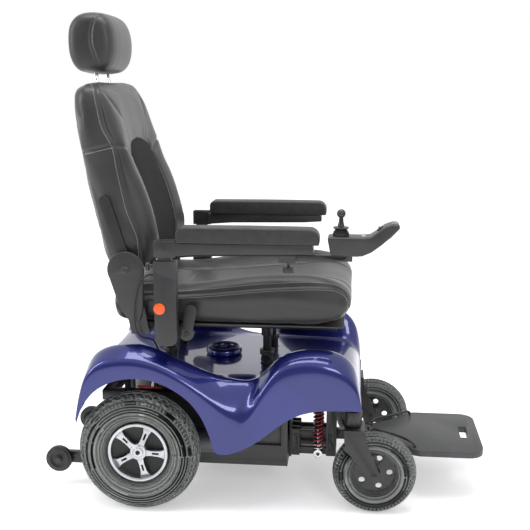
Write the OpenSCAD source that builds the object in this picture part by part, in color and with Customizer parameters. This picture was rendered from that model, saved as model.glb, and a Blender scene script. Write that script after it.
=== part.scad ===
// Rear-wheel-drive power wheelchair: a separate solid for each piece, in millimetres.
// X points forward, Y to the sitter's left, Z up from the ground.
// Places are measured from the rear axle; the whole chair is then centred over the origin.

/* [Stance] */
// Rear axle to caster stem
stem_x = 618; // [600:5:680]
// Distance between the drive tyres' middle planes
drive_track = 550; // [540:5:640]
// Distance between the caster stems
caster_track = 470; // [460:5:560]

/* [Drive wheels] */
// Radius of the drive tyre
drive_r = 178; // [160:1:185]
// Width of the drive tyre
drive_w = 90; // [70:1:94]
// Radius of the seat where the tyre sits on the rim
drive_bead_r = 86; // [70:1:95]
// Radius of the gearbox output shaft
shaft_r = 8.5; // [6:0.5:12]

/* [Casters] */
// Radius of the caster tyre
caster_r = 121; // [100:1:124]
// Width of the caster tyre
caster_w = 62; // [44:1:64]
// Radius of the seat where the caster tyre sits on its rim
caster_bead_r = 73; // [55:1:80]
// Horizontal distance from the stem to the caster axle
caster_trail = 62; // [40:1:64]
// Thickness of a fork leg
fork_t = 7; // [4:0.5:9]
// Radius of the fork stem
stem_r = 10; // [8:0.5:13]

/* [Chassis] */
// Height of the side rails' underside
rail_z = 290; // [285:1:310]
// Side of the square rail tube
rail_s = 30; // [20:1:36]
// Distance between the side rails' inner faces
rail_gap = 300; // [290:2:320]
// Height of the battery tray's underside
tray_z = 82; // [70:1:95]
// Half width of the battery tray
tray_half = 140; // [136:1:146]
// Thickness of the tray's steel
tray_t = 4; // [2:0.5:5]
// Length of one battery along the chair
battery_l = 165; // [140:1:168]
// Half width of one battery
battery_half = 130; // [100:1:132]
// Height of one battery
battery_h = 196; // [160:1:198]
// Radius of the accessory holes in the rear cross tube
accessory_r = 4.25; // [3:0.25:6]
// Distance between the accessory holes
accessory_gap = 80; // [50:2:100]

/* [Front suspension] */
// Distance between a link's two pivots
link_l = 108; // [100:1:110]
// Height of the lower link's pivots
link_low_z = 96; // [90:1:100]
// Height difference between the two links
link_rise = 51; // [44:1:60]
// Radius of the links' pivot bolts
link_pin_r = 5; // [3:0.5:6]
// Distance from the middle plane to the inner face of a link
link_y = 24; // [22:1:26]
// Outer radius of the coil spring
spring_r = 16; // [13:0.5:17]
// Radius of the spring's wire
spring_wire_r = 2.8; // [1.5:0.1:3.2]
// Number of turns of the spring
spring_turns = 9; // [6:1:11]

/* [Body shroud] */
// Wall of the moulded shroud
shroud_t = 3.5; // [2.5:0.5:5]
// Half width of the shroud over the drive wheels
shroud_half = 320; // [312:1:325]
// Height of the flat deck between the fenders
deck_z = 392; // [385:1:400]
// Radius of the hole inside the raised collar
collar_hole_r = 40; // [30:1:46]

/* [Seat] */
// Height of the seat pan's underside
pan_z = 541; // [520:1:570]
// Depth of the seat pan from front to back
pan_l = 605; // [540:5:610]
// Half width of the seat cushion
seat_half = 250; // [220:1:252]
// Height of the cushion's side bolsters above the pan
seat_h = 153; // [110:1:158]
// How far the middle of the cushion lies below its bolsters
seat_dish = 38; // [15:1:60]
// Radius of the seat posts
post_r = 12.5; // [10:0.5:15]
// Distance between the left and right seat posts
post_gap = 176; // [140:2:200]

/* [Backrest] */
// Height of the recline hinge
hinge_z = 709; // [690:1:725]
// Half width of the back cushion
back_half = 243; // [210:1:244]
// Length of the back cushion above the hinge
back_h = 519; // [440:1:560]
// How far the middle of the back lies behind its bolsters
back_dish = 55; // [20:1:70]
// Radius of the recline hinge pins
hinge_pin_r = 8; // [6:0.5:10]

/* [Headrest] */
// Height of the headrest pad
head_h = 178; // [140:1:200]
// Half width of the headrest pad
head_half = 130; // [100:1:150]
// Distance between the headrest posts
head_post_gap = 120; // [80:2:160]
// Radius of the headrest posts
head_post_r = 6; // [4:0.5:8]

/* [Armrests] */
// Distance from the middle plane to the middle of an armrest post
arm_y = 299; // [296:0.5:301]
// Length of the arm pad
pad_l = 390; // [300:5:400]
// Width of the arm pad
pad_w = 62; // [50:1:64]
// Height of the arm pad
pad_h = 44; // [30:1:46]
// Height of the flip-up pivot
flip_z = 779; // [770:1:800]
// Thickness of the flat armrest post
upright_t = 16; // [10:1:18]
// Width of the flat armrest post
upright_w = 38; // [30:1:42]

/* [Controller] */
// Side of the square controller bar
bar_s = 16; // [12:1:18]
// Length of the controller bar behind the housing
bar_l = 160; // [120:5:200]
// Width of the controller housing
box_w = 66; // [55:1:68]
// Radius of the controller cable
cable_r = 2.5; // [2:0.1:3]

/* [Footplate] */
// Half width of the footplate
foot_half = 156; // [140:1:158]
// Length of the footplate in front of its hinge
foot_l = 350; // [280:5:360]
// Thickness of the footplate
foot_t = 20; // [12:1:24]
// Height of the footplate's top
foot_z = 158; // [150:1:170]

/* [Fits] */
// Radial clearance of a shaft that turns in a bore
run_fit = 0.06; // [0.02:0.01:0.1]
// Gap around a piece that slides in a socket
slide_fit = 0.3; // [0.2:0.05:0.5]
// Gap between a link and the cheeks on either side of it
side_fit = 0.5; // [0.3:0.1:1]

/* [Hidden] */
$fn = 64;

// Colours
BLACK = "#1a1a1c";
CHARCOAL = "#37393b";
VINYL = "#26272a";
BLUE = "#1c2a8c";
GREY = "#707370";
SILVER = "#c9ccd0";
RED = "#8c1018";
ORANGE = "#e0500f";

// Stance
y_drive = drive_track / 2;
y_caster = caster_track / 2;
caster_x = stem_x + caster_trail;

// Chassis
rail_top = rail_z + rail_s;
rail_y0 = rail_gap / 2;
rail_y1 = rail_y0 + rail_s;
rail_back = -135;
rear_post_x = 60;
front_post_x = 354;
tray_x0 = rear_post_x - rail_s / 2;
tray_x1 = 421;
rail_front = tray_x1 + 9;
battery_gap = 5;
battery_x0 = (tray_x0 + tray_x1 - battery_gap) / 2 - battery_l;
gearbox_y0 = rail_y0 + 10;
gearbox_y1 = y_drive - drive_w / 2 - 4;
gearbox_top = drive_r + 54;
motor_r = 36;
motor_y = gearbox_y1 - motor_r - 2;

// Anti-tip wheels
antitip_r = 40;
antitip_w = 22;
antitip_x = -281;
antitip_z = 91;
antitip_arm_y0 = 142;
antitip_arm_y1 = 158;
antitip_pin_r = 5;
antitip_y = antitip_arm_y1 + 2 + antitip_w / 2;

// Front suspension
column_x1 = tray_x1 + 6;
link_x0 = column_x1 + 13;
link_x1 = link_x0 + link_l;
link_high_z = link_low_z + link_rise;
link_end_r = 11;
low_link_w = 22;
high_link_w = 12;
cheek_t = 6.5;
cheek_in0 = link_y - side_fit - cheek_t;
cheek_out0 = link_y + low_link_w + side_fit;
cheek_out1 = cheek_out0 + cheek_t;
spring_y = link_y + high_link_w + spring_r + 1;
spring_x = link_x0 + 70;
eye_z = link_low_z - 6;
eye_r = 14;
seat_low_z = link_low_z + link_end_r + 4;
spring_z0 = seat_low_z + 3;
spring_z1 = 232;
shock_tube_r = spring_r - 2 * spring_wire_r - 0.9;
shock_bore_r = shock_tube_r - 2.3;
shock_rod_r = shock_bore_r - 1.7;
carrier_x0 = link_x1 - 13;
carrier_x1 = link_x1 + 18;
carrier_arm_z = 268;
barrel_z0 = 262;
barrel_z1 = 306;
barrel_r = 24;
crown_z0 = 2 * caster_r + 1;
crown_z1 = crown_z0 + 16;
fork_y0 = caster_w / 2 + 5;
caster_pin_r = 6;
caster_hub_half = fork_y0 - 1;

// Seat
pan_t = 4;
pan_top = pan_z + pan_t;
pan_x0 = -20;
pan_x1 = pan_x0 + pan_l;
post_y = post_gap / 2;
socket_top = deck_z + 44;
socket_r = post_r + 5.5;
seat_rail_y0 = 135;
seat_rail_s = 22;
recline_pin_r = 5;
cushion_z0 = pan_top + 0.3;
cushion_top = cushion_z0 + seat_h;
bolster_w = 78;

// Backrest and headrest
hinge_x = -28;
swing_r = 90;
back_arm_t = 6;
back_arm_y0 = back_half + 1;
back_arm_y1 = back_arm_y0 + back_arm_t;
seat_ear_y0 = back_arm_y1 + 1.5;
seat_ear_y1 = seat_ear_y0 + 6;
cover_y0 = seat_ear_y1 + 0.5;
cover_y1 = cover_y0 + 14;
back_top = hinge_z + back_h;
back_bolster_w = 85;
head_tilt = 10;
head_post_x = hinge_x - 100;
head_base_z = back_top - 120;
head_z0 = back_top + 22;

// Armrests
socket_x0 = 62;
socket_x1 = 124;
socket_z0 = 504;
socket_z1 = 744;
socket_wall = 7;
upright_x = 92;
flip_x = 84;
flip_r = 22;
flip_pin_r = 5;
arm_cheek_t = 5;
arm_x1 = 500;
arm_box_x = flip_x + flip_r + 12;
arm_z0 = flip_z - 10;
arm_z1 = flip_z + 16;
arm_in = arm_y - 30;
arm_out = arm_y + upright_t / 2 + side_fit + arm_cheek_t;
pad_x0 = 126;
pad_x1 = pad_x0 + pad_l;
pad_y = 286;

// Controller
bar_z0 = arm_z0 - 19;
bar_z1 = bar_z0 + bar_s;
bar_x1 = 605;
bar_x0 = bar_x1 - bar_l - 40;
clamp_x0 = 405;
clamp_x1 = 452;
box_x0 = 538;
box_z0 = bar_z1 + 4;
stick_x = 573;
stick_z = box_z0 + 48;
stick_pin_r = 2.5;

// Footplate
foot_x = 655;
foot_pivot_z = foot_z - 9;
foot_pin_r = 6;
foot_knuckle_r = 11;
foot_front = foot_x + foot_l;
hanger_half = cheek_in0 - 2;

// The origin lies under the middle of the whole length
x_mid = (foot_front + antitip_x - antitip_r) / 2;

// Route of the cable from the right armrest socket to the deck, hand-set
cable_path = [
  [62, -290, 702], [52, -290, 702], [36, -290, 698], [20, -290, 682], [8, -290, 650],
  [0, -288, 610], [-2, -286, 570], [2, -280, 536], [12, -264, 514],
  [24, -240, 504], [34, -216, 490], [41, -196, 464], [45, -180, 434], [46, -172, 408],
  [46, -170, 385], [46, -170, 355], [46, -170, 326]
];

// Route of the lead along the underside of the right arm, hand-set
lead_path = [
  [128, -304, 756], [150, -304, 758], [175, -304, 760], [200, -304, 762], [260, -304, 763],
  [320, -304, 764], [380, -304, 765], [440, -304, 766], [480, -304, 766],
  [505, -304, 764], [530, -303, 760], [552, -302, 757], [570, -300, 756], [582, -300, 757],
  [588, -300, 761], [588, -300, 765.6]
];

// Shroud outline: one row for each section from the tail to the nose, each with the
// lower edge (x, z), the shoulder (x, z), the crest (x, z), the deck (x, z) and the half width
shroud_rows = [
  [-174, 266, -176, 286, -178, 292, -178, 300, 318],
  [-160, 306, -164, 350, -166, 366, -166, 345, 319],
  [-140, 340, -146, 402, -150, 424, -156, 384, 320],
  [-108, 372, -116, 438, -120, 464, -132, 402, 320],
  [-60, 397, -66, 455, -70, 486, -85, 404, 320],
  [0, 407, 0, 458, 0, 492, -15, 400, 320],
  [60, 399, 64, 444, 66, 474, 60, deck_z + 4, 320],
  [112, 376, 124, 416, 128, 446, 125, deck_z, 320],
  [156, 343, 180, 380, 188, 418, 185, deck_z, 320],
  [190, 297, 232, 340, 244, 396, 240, deck_z, 320],
  [212, 245, 272, 312, 285, 386, 280, deck_z, 320],
  [228, 196, 305, 300, 315, 384, 315, deck_z, 319],
  [262, 190, 334, 326, 345, 398, 345, deck_z, 318],
  [300, 203, 362, 374, 376, 434, 378, deck_z, 317],
  [345, 228, 398, 424, 408, 464, 412, deck_z, 315],
  [398, 270, 442, 450, 452, 482, 455, deck_z, 312],
  [450, 305, 500, 458, 506, 488, 506, deck_z, 309],
  [505, 322, 552, 450, 556, 482, 556, deck_z - 2, 306],
  [560, 326, 594, 430, 596, 462, 596, deck_z - 8, 303],
  [602, 326, 622, 398, 622, 424, 620, deck_z - 30, 301],
  [630, 326, 636, 356, 636, 366, 634, deck_z - 58, 300],
  [637, 326, 638, 332, 638, 334, 638, 330, 300]
];

function mix(a, b, t) = a + (b - a) * t;
function spline(a, b, c, d, t) =
  0.5 * (2 * b + (c - a) * t + (2 * a - 5 * b + 4 * c - d) * t * t
  + (3 * b - a - 3 * c + d) * t * t * t);
function at(list, i) = list[max(0, min(len(list) - 1, i))];
function smooth_row(rows, u) = let (i = min(floor(u), len(rows) - 2), t = u - i)
  spline(at(rows, i - 1), at(rows, i), at(rows, i + 1), at(rows, i + 2), t);
function smooth_list(list, steps) = [
  for (k = [0 : (len(list) - 1) * steps]) smooth_row(list, k / steps)
];

// Outlines that repeat
module block(lo, hi) {
  translate(lo) cube(hi - lo);
}

// Gives the left side's shape for s = 1 and its mirror image for s = -1
module side(s) {
  if (s > 0) children();
  else mirror([0, 1, 0]) children();
}

// A plate cut in the X-Z plane, from y0 to y1
module plate(y0, y1) {
  translate([0, y1, 0]) rotate([90, 0, 0]) linear_extrude(y1 - y0) children();
}

module pin(x, z, y0, y1, r) {
  plate(y0, y1) translate([x, z]) circle(r);
}

// A rounded bar in the X-Z plane from point a to point b
module bar_2d(a, b, r) {
  len_ab = norm(b - a);
  turn = atan2(b[1] - a[1], b[0] - a[0]);
  translate(a) circle(r);
  translate(b) circle(r);
  translate(a) rotate(turn) translate([0, -r]) square([len_ab, 2 * r]);
}

module rod(a, b, r) {
  v = b - a;
  flat = norm([v[0], v[1]]);
  translate(a) rotate([0, atan2(flat, v[2]), atan2(v[1], v[0])]) cylinder(r = r, h = norm(v));
}

// A round cord swept along smoothed route points
module cord_tube(path, r, sides = 8, steps = 3) {
  pts = smooth_list(path, steps);
  n = len(pts);
  dirs = [for (i = [0 : n - 1]) let (d = at(pts, i + 1) - at(pts, i - 1)) d / norm(d)];
  ring = [for (i = [0 : n - 1]) let (
    side_dir = cross(dirs[i], [0, 1, 0.15]),
    u = side_dir / norm(side_dir),
    v = cross(dirs[i], u))
    for (k = [0 : sides - 1]) pts[i] + r * (cos(360 * k / sides) * u + sin(360 * k / sides) * v)
  ];
  walls = [for (i = [0 : n - 2], k = [0 : sides - 1]) let (m = (k + 1) % sides)
    [i * sides + k, (i + 1) * sides + k, (i + 1) * sides + m, i * sides + m]
  ];
  first = [for (k = [0 : sides - 1]) k];
  last = [for (k = [sides - 1 : -1 : 0]) (n - 1) * sides + k];
  polyhedron(ring, concat(walls, [first, last]), convexity = 6);
}

// Chassis ------------------------------------------------------------------

module base_frame() {
  color(BLACK) {
    for (s = [-1, 1]) side(s) {
      block([rail_back, rail_y0, rail_z], [rail_front, rail_y1, rail_top]);
      block([-35, gearbox_y0, gearbox_top], [35, rail_y1 - 2, rail_z]);
      shock_bracket();
      shroud_rest();
    }
    for (x = [rear_post_x - rail_s / 2, front_post_x - rail_s / 2, rail_front - rail_s])
      block([x, -rail_y0, rail_z], [x + rail_s, rail_y0, rail_top]);
    drilled_tube();
    front_column();
  }
}

// The tube behind the seat posts, drilled for accessories
module drilled_tube() {
  difference() {
    block([rail_back, -rail_y0, rail_z], [rail_back + rail_s, rail_y0, rail_top]);
    for (y = [-accessory_gap / 2, accessory_gap / 2])
      translate([rail_back + rail_s / 2, y, rail_z - 1]) cylinder(r = accessory_r, h = rail_s + 2);
  }
}

// The plate under the front cross tube that carries the link pivots
module front_column() {
  difference() {
    union() {
      block([tray_x1, -66, tray_z], [column_x1, 66, rail_z]);
      for (s = [-1, 1]) side(s) {
        block([column_x1, cheek_in0, tray_z], [link_x0 + 12, cheek_in0 + cheek_t, link_high_z + 18]);
        block([column_x1, cheek_out0, tray_z], [link_x0 + 12, cheek_out1, link_high_z + 18]);
      }
    }
    for (z = [link_low_z, link_high_z]) pin(link_x0, z, -70, 70, link_pin_r + run_fit);
  }
}

// Arm above the spring that holds the damper's top end
module shock_bracket() {
  block([rail_front, spring_y - 13, rail_top - 20], [spring_x + 14, spring_y + 13, rail_top]);
}

// Rubber-topped stands that the shroud sits on
module shroud_rest() {
  for (x = [-60, 240, 420])
    translate([x, (rail_y0 + rail_y1) / 2, rail_top]) cylinder(r = 9, h = deck_z - shroud_t - rail_top - 4);
}

module battery_tray() {
  color(BLACK) {
    difference() {
      block([tray_x0, -tray_half, tray_z], [tray_x1, tray_half, tray_z + 66]);
      block([tray_x0 + tray_t, -tray_half + tray_t, tray_z + tray_t], [tray_x1 - tray_t, tray_half - tray_t, tray_z + 67]);
    }
    for (s = [-1, 1]) side(s)
      for (x = [tray_x0, tray_x1 - 20])
        block([x, tray_half - tray_t, tray_z + 66], [x + 20, tray_half, rail_z]);
  }
}

module batteries() {
  color(CHARCOAL) for (i = [0, 1])
    translate([battery_x0 + i * (battery_l + battery_gap), 0, tray_z + tray_t]) {
      block([0, -battery_half, 0], [battery_l, battery_half, battery_h - 12]);
      block([12, -battery_half + 8, battery_h - 12], [battery_l - 12, battery_half - 8, battery_h - 6]);
      for (y = [-70, 70]) translate([battery_l / 2, y, battery_h - 6]) cylinder(r = 8, h = 6);
    }
}

module gearmotors() {
  color(CHARCOAL) for (s = [-1, 1]) side(s) difference() {
    union() {
      plate(gearbox_y0, gearbox_y1) {
        translate([0, drive_r]) circle(48);
        translate([-40, drive_r]) square([80, gearbox_top - drive_r]);
      }
      pin(0, drive_r, gearbox_y1, gearbox_y1 + 8, 38);
      translate([40, motor_y, drive_r]) rotate([0, 90, 0]) cylinder(r = motor_r, h = 170);
      translate([210, motor_y, drive_r]) rotate([0, 90, 0]) cylinder(r = motor_r - 6, h = 22);
    }
    pin(0, drive_r, gearbox_y1 - 38, gearbox_y1 + 9, shaft_r + run_fit);
    pin(-30, drive_r + 28, gearbox_y0 - 1, gearbox_y0 + 20, lever_pin_r + run_fit);
  }
}

// Freewheel lever on the inner face of each gearbox
lever_pin_r = 5;
module freewheel_lever(s) {
  color("#b02018") side(s) {
    pin(-30, drive_r + 28, gearbox_y0 - 12, gearbox_y0 + 18, lever_pin_r);
    plate(gearbox_y0 - 12, gearbox_y0 - 6) bar_2d([-30, drive_r + 28], [-92, drive_r + 34], 8);
    rod([-92, gearbox_y0 - 9, drive_r + 34], [-112, gearbox_y0 - 9, drive_r + 36], 7);
  }
}

module power_module() {
  color(CHARCOAL) {
    block([-100, -72, rail_top + 6], [38, 72, rail_top + 48]);
    for (x = [-90 : 16 : 22]) block([x, -64, rail_top + 48], [x + 6, 64, rail_top + 56]);
    block([-135, -60, rail_top], [-88, 60, rail_top + 6]);
    block([34, -60, rail_top], [75, 60, rail_top + 6]);
  }
}

module antitip_arms() {
  for (s = [-1, 1]) side(s) {
    color(BLACK) {
      difference() {
        plate(antitip_arm_y0, antitip_arm_y1) bar_2d([antitip_x, antitip_z], [-115, antitip_z], 18);
        pin(antitip_x, antitip_z, antitip_arm_y0 - 1, antitip_arm_y1 + 1, antitip_pin_r);
      }
      block([rail_back, antitip_arm_y0, antitip_z + 18], [rail_back + 15, antitip_arm_y1, rail_z]);
    }
    color(SILVER) {
      pin(antitip_x, antitip_z, antitip_arm_y0, antitip_y + antitip_w / 2 + 1, antitip_pin_r);
      pin(antitip_x, antitip_z, antitip_y + antitip_w / 2 + 1, antitip_y + antitip_w / 2 + 5, 9);
    }
  }
}

module antitip_wheel(s) {
  color(BLACK) side(s) difference() {
    translate([antitip_x, antitip_y, antitip_z]) rotate([90, 0, 0]) rotate_extrude()
      difference() {
        union() {
          translate([0, -antitip_w / 2]) square([antitip_r - 6, antitip_w]);
          translate([antitip_r - 8, -antitip_w / 2 + 3]) square([8, antitip_w - 6]);
        }
        translate([12, 6]) square([12, 10]);
        translate([12, -16]) square([12, 10]);
      }
    pin(antitip_x, antitip_z, antitip_arm_y1, antitip_y + antitip_w, antitip_pin_r + run_fit);
  }
}

// Sockets that the seat posts drop into, each with its pull-ring pin
module seat_sockets() {
  for (x = [rear_post_x, front_post_x], s = [-1, 1]) side(s) {
    color(BLACK) difference() {
      union() {
        translate([x, post_y, rail_top]) cylinder(r = socket_r, h = socket_top - rail_top);
        translate([x, post_y, socket_top - 14]) cylinder(r = socket_r + 4, h = 14);
      }
      translate([x, post_y, rail_top - 1]) cylinder(r = post_r + slide_fit, h = socket_top - rail_top + 2);
    }
    color(SILVER) {
      pin(x, socket_top - 7, post_y + socket_r + 3, post_y + socket_r + 20, 4);
      translate([x, post_y + socket_r + 16, socket_top - 21]) rotate([90, 0, 0])
        rotate_extrude() translate([14, 0]) circle(2);
    }
  }
}

module shock_bodies() {
  color(CHARCOAL) for (s = [-1, 1]) side(s) translate([spring_x, spring_y, 0]) difference() {
    union() {
      translate([0, 0, 170]) cylinder(r = shock_tube_r, h = rail_top - 20 - 170);
      translate([0, 0, spring_z1 + 0.3]) cylinder(r = spring_r, h = 5);
    }
    translate([0, 0, 169]) cylinder(r = shock_bore_r, h = rail_top - 20 - 170 - 6);
  }
}

module footrest_hanger() {
  color(BLACK) difference() {
    union() {
      block([column_x1, -hanger_half, foot_pivot_z - 24], [foot_x - 4, hanger_half, foot_pivot_z + 4]);
      pin(foot_x, foot_pivot_z, -hanger_half, hanger_half, foot_knuckle_r);
    }
    pin(foot_x, foot_pivot_z, -hanger_half - 1, hanger_half + 1, foot_pin_r + run_fit);
  }
}

// Shroud -------------------------------------------------------------------

// Points of one half of a section, from the lower edge to the middle of the deck
function shroud_half_section(r) = let (
  w = r[8],
  crest_y = w - 62,
  foot_y = min(crest_y - 42, w - 104),
  keys = [
    [r[0], w, r[1]],
    [mix(r[0], r[2], 0.5), w + 0.5, mix(r[1], r[3], 0.5)],
    [mix(r[0], r[2], 0.9), w - 2, mix(r[1], r[3], 0.88)],
    [r[2], w - 16, mix(r[3], r[5], 0.3)],
    [r[4], crest_y, r[5]],
    [mix(r[4], r[6], 0.5), mix(crest_y, foot_y, 0.5), mix(r[5], r[7], 0.4)],
    [r[6], foot_y, mix(r[5], r[7], 0.93)],
    [r[6], foot_y - 40, r[7]],
    [r[6], 60, r[7]],
    [r[6], 0, r[7]]
  ]) smooth_list(keys, 2);

function shroud_section(r) = let (half = shroud_half_section(r), n = len(half))
  concat(half, [for (i = [n - 2 : -1 : 0]) [half[i][0], -half[i][1], half[i][2]]]);

module shroud_shell() {
  grid = [for (r = smooth_list(shroud_rows, 2)) shroud_section(r)];
  n = len(grid);
  m = len(grid[0]);
  inner = [for (i = [0 : n - 1]) [for (j = [0 : m - 1]) let (
    du = at(grid, i + 1)[j] - at(grid, i - 1)[j],
    dv = at(grid[i], j + 1) - at(grid[i], j - 1),
    c = cross(du, dv)) grid[i][j] + shroud_t * c / norm(c)]];
  points = concat([for (row = grid) each row], [for (row = inner) each row]);
  o = n * m;
  skin = [for (i = [0 : n - 2], j = [0 : m - 2]) let (a = i * m + j)
    each [[a, a + m, a + 1], [a + 1, a + m, a + m + 1]]];
  lining = [for (f = skin) [f[2] + o, f[1] + o, f[0] + o]];
  ends = [for (j = [0 : m - 2]) let (a = (n - 1) * m + j)
    each [[j, j + 1, j + 1 + o], [j, j + 1 + o, j + o], [a + 1, a, a + o], [a + 1, a + o, a + 1 + o]]];
  edges = [for (i = [0 : n - 2]) let (a = i * m, b = i * m + m - 1)
    each [[a + m, a, a + o], [a + m, a + o, a + m + o], [b, b + m, b + m + o], [b, b + m + o, b + o]]];
  polyhedron(points, concat(skin, lining, ends, edges), convexity = 10);
}

collar_x = 210;
module body_shroud() {
  color(BLUE) difference() {
    union() {
      shroud_shell();
      translate([collar_x, 0, deck_z + 11.1]) rotate_extrude($fn = 48)
        translate([collar_hole_r + 8, 0]) scale([0.9, 1.5]) circle(9, $fn = 12);
    }
    translate([collar_x, 0, deck_z - 30]) cylinder(r = collar_hole_r, h = 90);
    for (x = [rear_post_x, front_post_x], s = [-1, 1])
      translate([x, s * post_y, deck_z - 20]) cylinder(r = socket_r + 3, h = 60);
    translate([46, -170, deck_z - 30]) cylinder(r = cable_r + 4, h = 80);
  }
}

// Drive wheels -------------------------------------------------------------

module drive_tyre(s) {
  sec = drive_w / 2;
  color(GREY) side(s) translate([0, y_drive, drive_r]) rotate([90, 0, 0]) rotate_extrude($fn = 96)
    difference() {
      union() {
        translate([drive_r - sec, 0]) circle(sec);
        translate([drive_bead_r, -26]) square([30, 52]);
      }
      translate([0, -60]) square([drive_bead_r, 120]);
    }
}

module drive_rim(s) {
  color(SILVER) side(s) {
    translate([0, y_drive, drive_r]) rotate([90, 0, 0]) {
      difference() {
        union() {
          rotate_extrude($fn = 96) {
            translate([drive_bead_r - 7, -30]) square([7, 60]);
            translate([drive_bead_r - 7, -30]) square([11, 3.6]);
            translate([drive_bead_r - 7, 26.4]) square([11, 3.6]);
          }
          translate([0, 0, -28]) cylinder(r = 22, h = 50);
          translate([0, 0, -25]) for (i = [0 : 4]) rotate(67 + 72 * i) spoke();
        }
        translate([0, 0, -40]) cylinder(r = shaft_r, h = 80);
      }
    }
    // The gearbox shaft that the hub is keyed to
    pin(0, drive_r, gearbox_y1 - 36, y_drive + 22, shaft_r);
  }
}

module spoke() {
  difference() {
    linear_extrude(10) polygon([[16, -9], [60, -9], [drive_bead_r - 5, -15], [drive_bead_r - 5, 15], [60, 9], [16, 9]]);
    translate([44, -2.5, -1]) cube([18, 5, 12]);
  }
}

// Front suspension ----------------------------------------------------------

module lower_link(s) {
  color(BLACK) side(s) difference() {
    union() {
      plate(link_y, link_y + low_link_w) bar_2d([link_x0, link_low_z], [link_x1, link_low_z], link_end_r);
      pin(spring_x, eye_z, link_y + low_link_w, spring_y + 9, link_pin_r);
    }
    pin(link_x0, link_low_z, link_y - 1, link_y + 30, link_pin_r);
    pin(link_x1, link_low_z, link_y - 1, link_y + 30, link_pin_r);
  }
  // Pivot bolts, fixed in the link
  color(SILVER) side(s) for (x = [link_x0, link_x1])
    pin(x, link_low_z, cheek_in0, cheek_out1 + 1, link_pin_r);
}

module upper_link(s) {
  color(BLACK) side(s) difference() {
    plate(link_y, link_y + high_link_w)
      bar_2d([link_x0, link_high_z], [link_x1, link_high_z], link_end_r);
    pin(link_x0, link_high_z, link_y - 1, link_y + 30, link_pin_r);
    pin(link_x1, link_high_z, link_y - 1, link_y + 30, link_pin_r);
  }
  color(SILVER) side(s) {
    pin(link_x0, link_high_z, cheek_in0, cheek_out1 + 1, link_pin_r);
    pin(link_x1, link_high_z, cheek_in0, cheek_out1 + 1, link_pin_r);
  }
}

// The post that the links hold upright, with the arm out to the stem's barrel
module caster_carrier(s) {
  open_fit = 0.8;
  color(BLACK) side(s) difference() {
    union() {
      block([carrier_x0, cheek_in0, tray_z], [carrier_x1, cheek_in0 + cheek_t, 200]);
      block([carrier_x0, cheek_out0, tray_z], [carrier_x1, cheek_out1, 200]);
      block([carrier_x1 - 4.5, cheek_in0, tray_z], [carrier_x1, cheek_out1, 200]);
      block([carrier_x0, cheek_in0, 200], [carrier_x1, cheek_out1, carrier_arm_z]);
      translate([0, 0, carrier_arm_z]) linear_extrude(barrel_z1 - carrier_arm_z - 4) polygon([
        [carrier_x0, cheek_in0], [carrier_x1, cheek_in0],
        [stem_x + barrel_r - 4, y_caster - 8], [stem_x - barrel_r + 2, y_caster + 4]
      ]);
      translate([stem_x, y_caster, barrel_z0]) cylinder(r = barrel_r, h = barrel_z1 - barrel_z0);
    }
    translate([stem_x, y_caster, barrel_z0 - 1]) cylinder(r = stem_r + run_fit, h = barrel_z1 - barrel_z0 - 3);
    pin(link_x1, link_low_z, 0, 70, link_pin_r + run_fit);
    pin(link_x1, link_high_z, 0, 70, link_pin_r + open_fit);
  }
}

module shock_rod(s) {
  color(SILVER) side(s) difference() {
    union() {
      pin(spring_x, eye_z, link_y + low_link_w + side_fit, spring_y + 8, eye_r);
      translate([spring_x, spring_y, eye_z]) cylinder(r = shock_rod_r, h = 225 - eye_z);
      translate([spring_x, spring_y, seat_low_z - 8]) cylinder(r = shock_rod_r + 1, h = 8);
      translate([spring_x, spring_y, seat_low_z]) cylinder(r = spring_r, h = 2.7);
    }
    pin(spring_x, eye_z, 0, 100, link_pin_r + run_fit);
  }
}

module shock_spring(s) {
  mean_r = spring_r - spring_wire_r;
  pitch = (spring_z1 - spring_z0 - 2 * spring_wire_r) / spring_turns;
  ring = 14;
  sides = 8;
  steps = spring_turns * ring;
  points = [for (i = [0 : steps], k = [0 : sides - 1]) let (
    a = 360 * i / ring,
    b = 360 * k / sides,
    r = mean_r + spring_wire_r * cos(b)) [
      spring_x + r * cos(a),
      spring_y + r * sin(a),
      spring_z0 + spring_wire_r + pitch * i / ring + spring_wire_r * sin(b)
    ]];
  walls = [for (i = [0 : steps - 1], k = [0 : sides - 1]) let (m = (k + 1) % sides)
    [i * sides + m, (i + 1) * sides + m, (i + 1) * sides + k, i * sides + k]
  ];
  first = [for (k = [sides - 1 : -1 : 0]) k];
  last = [for (k = [0 : sides - 1]) steps * sides + k];
  color(RED) side(s) polyhedron(points, concat(walls, [first, last]), convexity = 12);
}

// Casters --------------------------------------------------------------------

module caster_fork(s) {
  side(s) translate([stem_x, y_caster, 0]) {
    color(BLACK) difference() {
      union() {
        translate([0, 0, crown_z0]) linear_extrude(crown_z1 - crown_z0)
          translate([-26, -fork_y0 - fork_t]) square([58, 2 * (fork_y0 + fork_t)]);
        for (y = [-fork_y0 - fork_t, fork_y0]) plate(y, y + fork_t) fork_leg();
      }
      pin(caster_trail, caster_r, -80, 80, caster_pin_r);
      translate([0, 0, crown_z0 - 1]) cylinder(r = stem_r, h = 30);
    }
    color(SILVER) {
      translate([0, 0, crown_z0]) cylinder(r = stem_r, h = barrel_z1 - crown_z0 - 6);
      translate([0, 0, crown_z1]) difference() {
        cylinder(r = stem_r + 6, h = barrel_z0 - crown_z1 - 0.3);
        translate([0, 0, -1]) cylinder(r = stem_r, h = 10);
      }
      pin(caster_trail, caster_r, -fork_y0 - fork_t - 1, fork_y0 + fork_t + 1, caster_pin_r);
      for (y = [-fork_y0 - fork_t - 5, fork_y0 + fork_t]) pin(caster_trail, caster_r, y, y + 5, 9);
    }
  }
}

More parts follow.
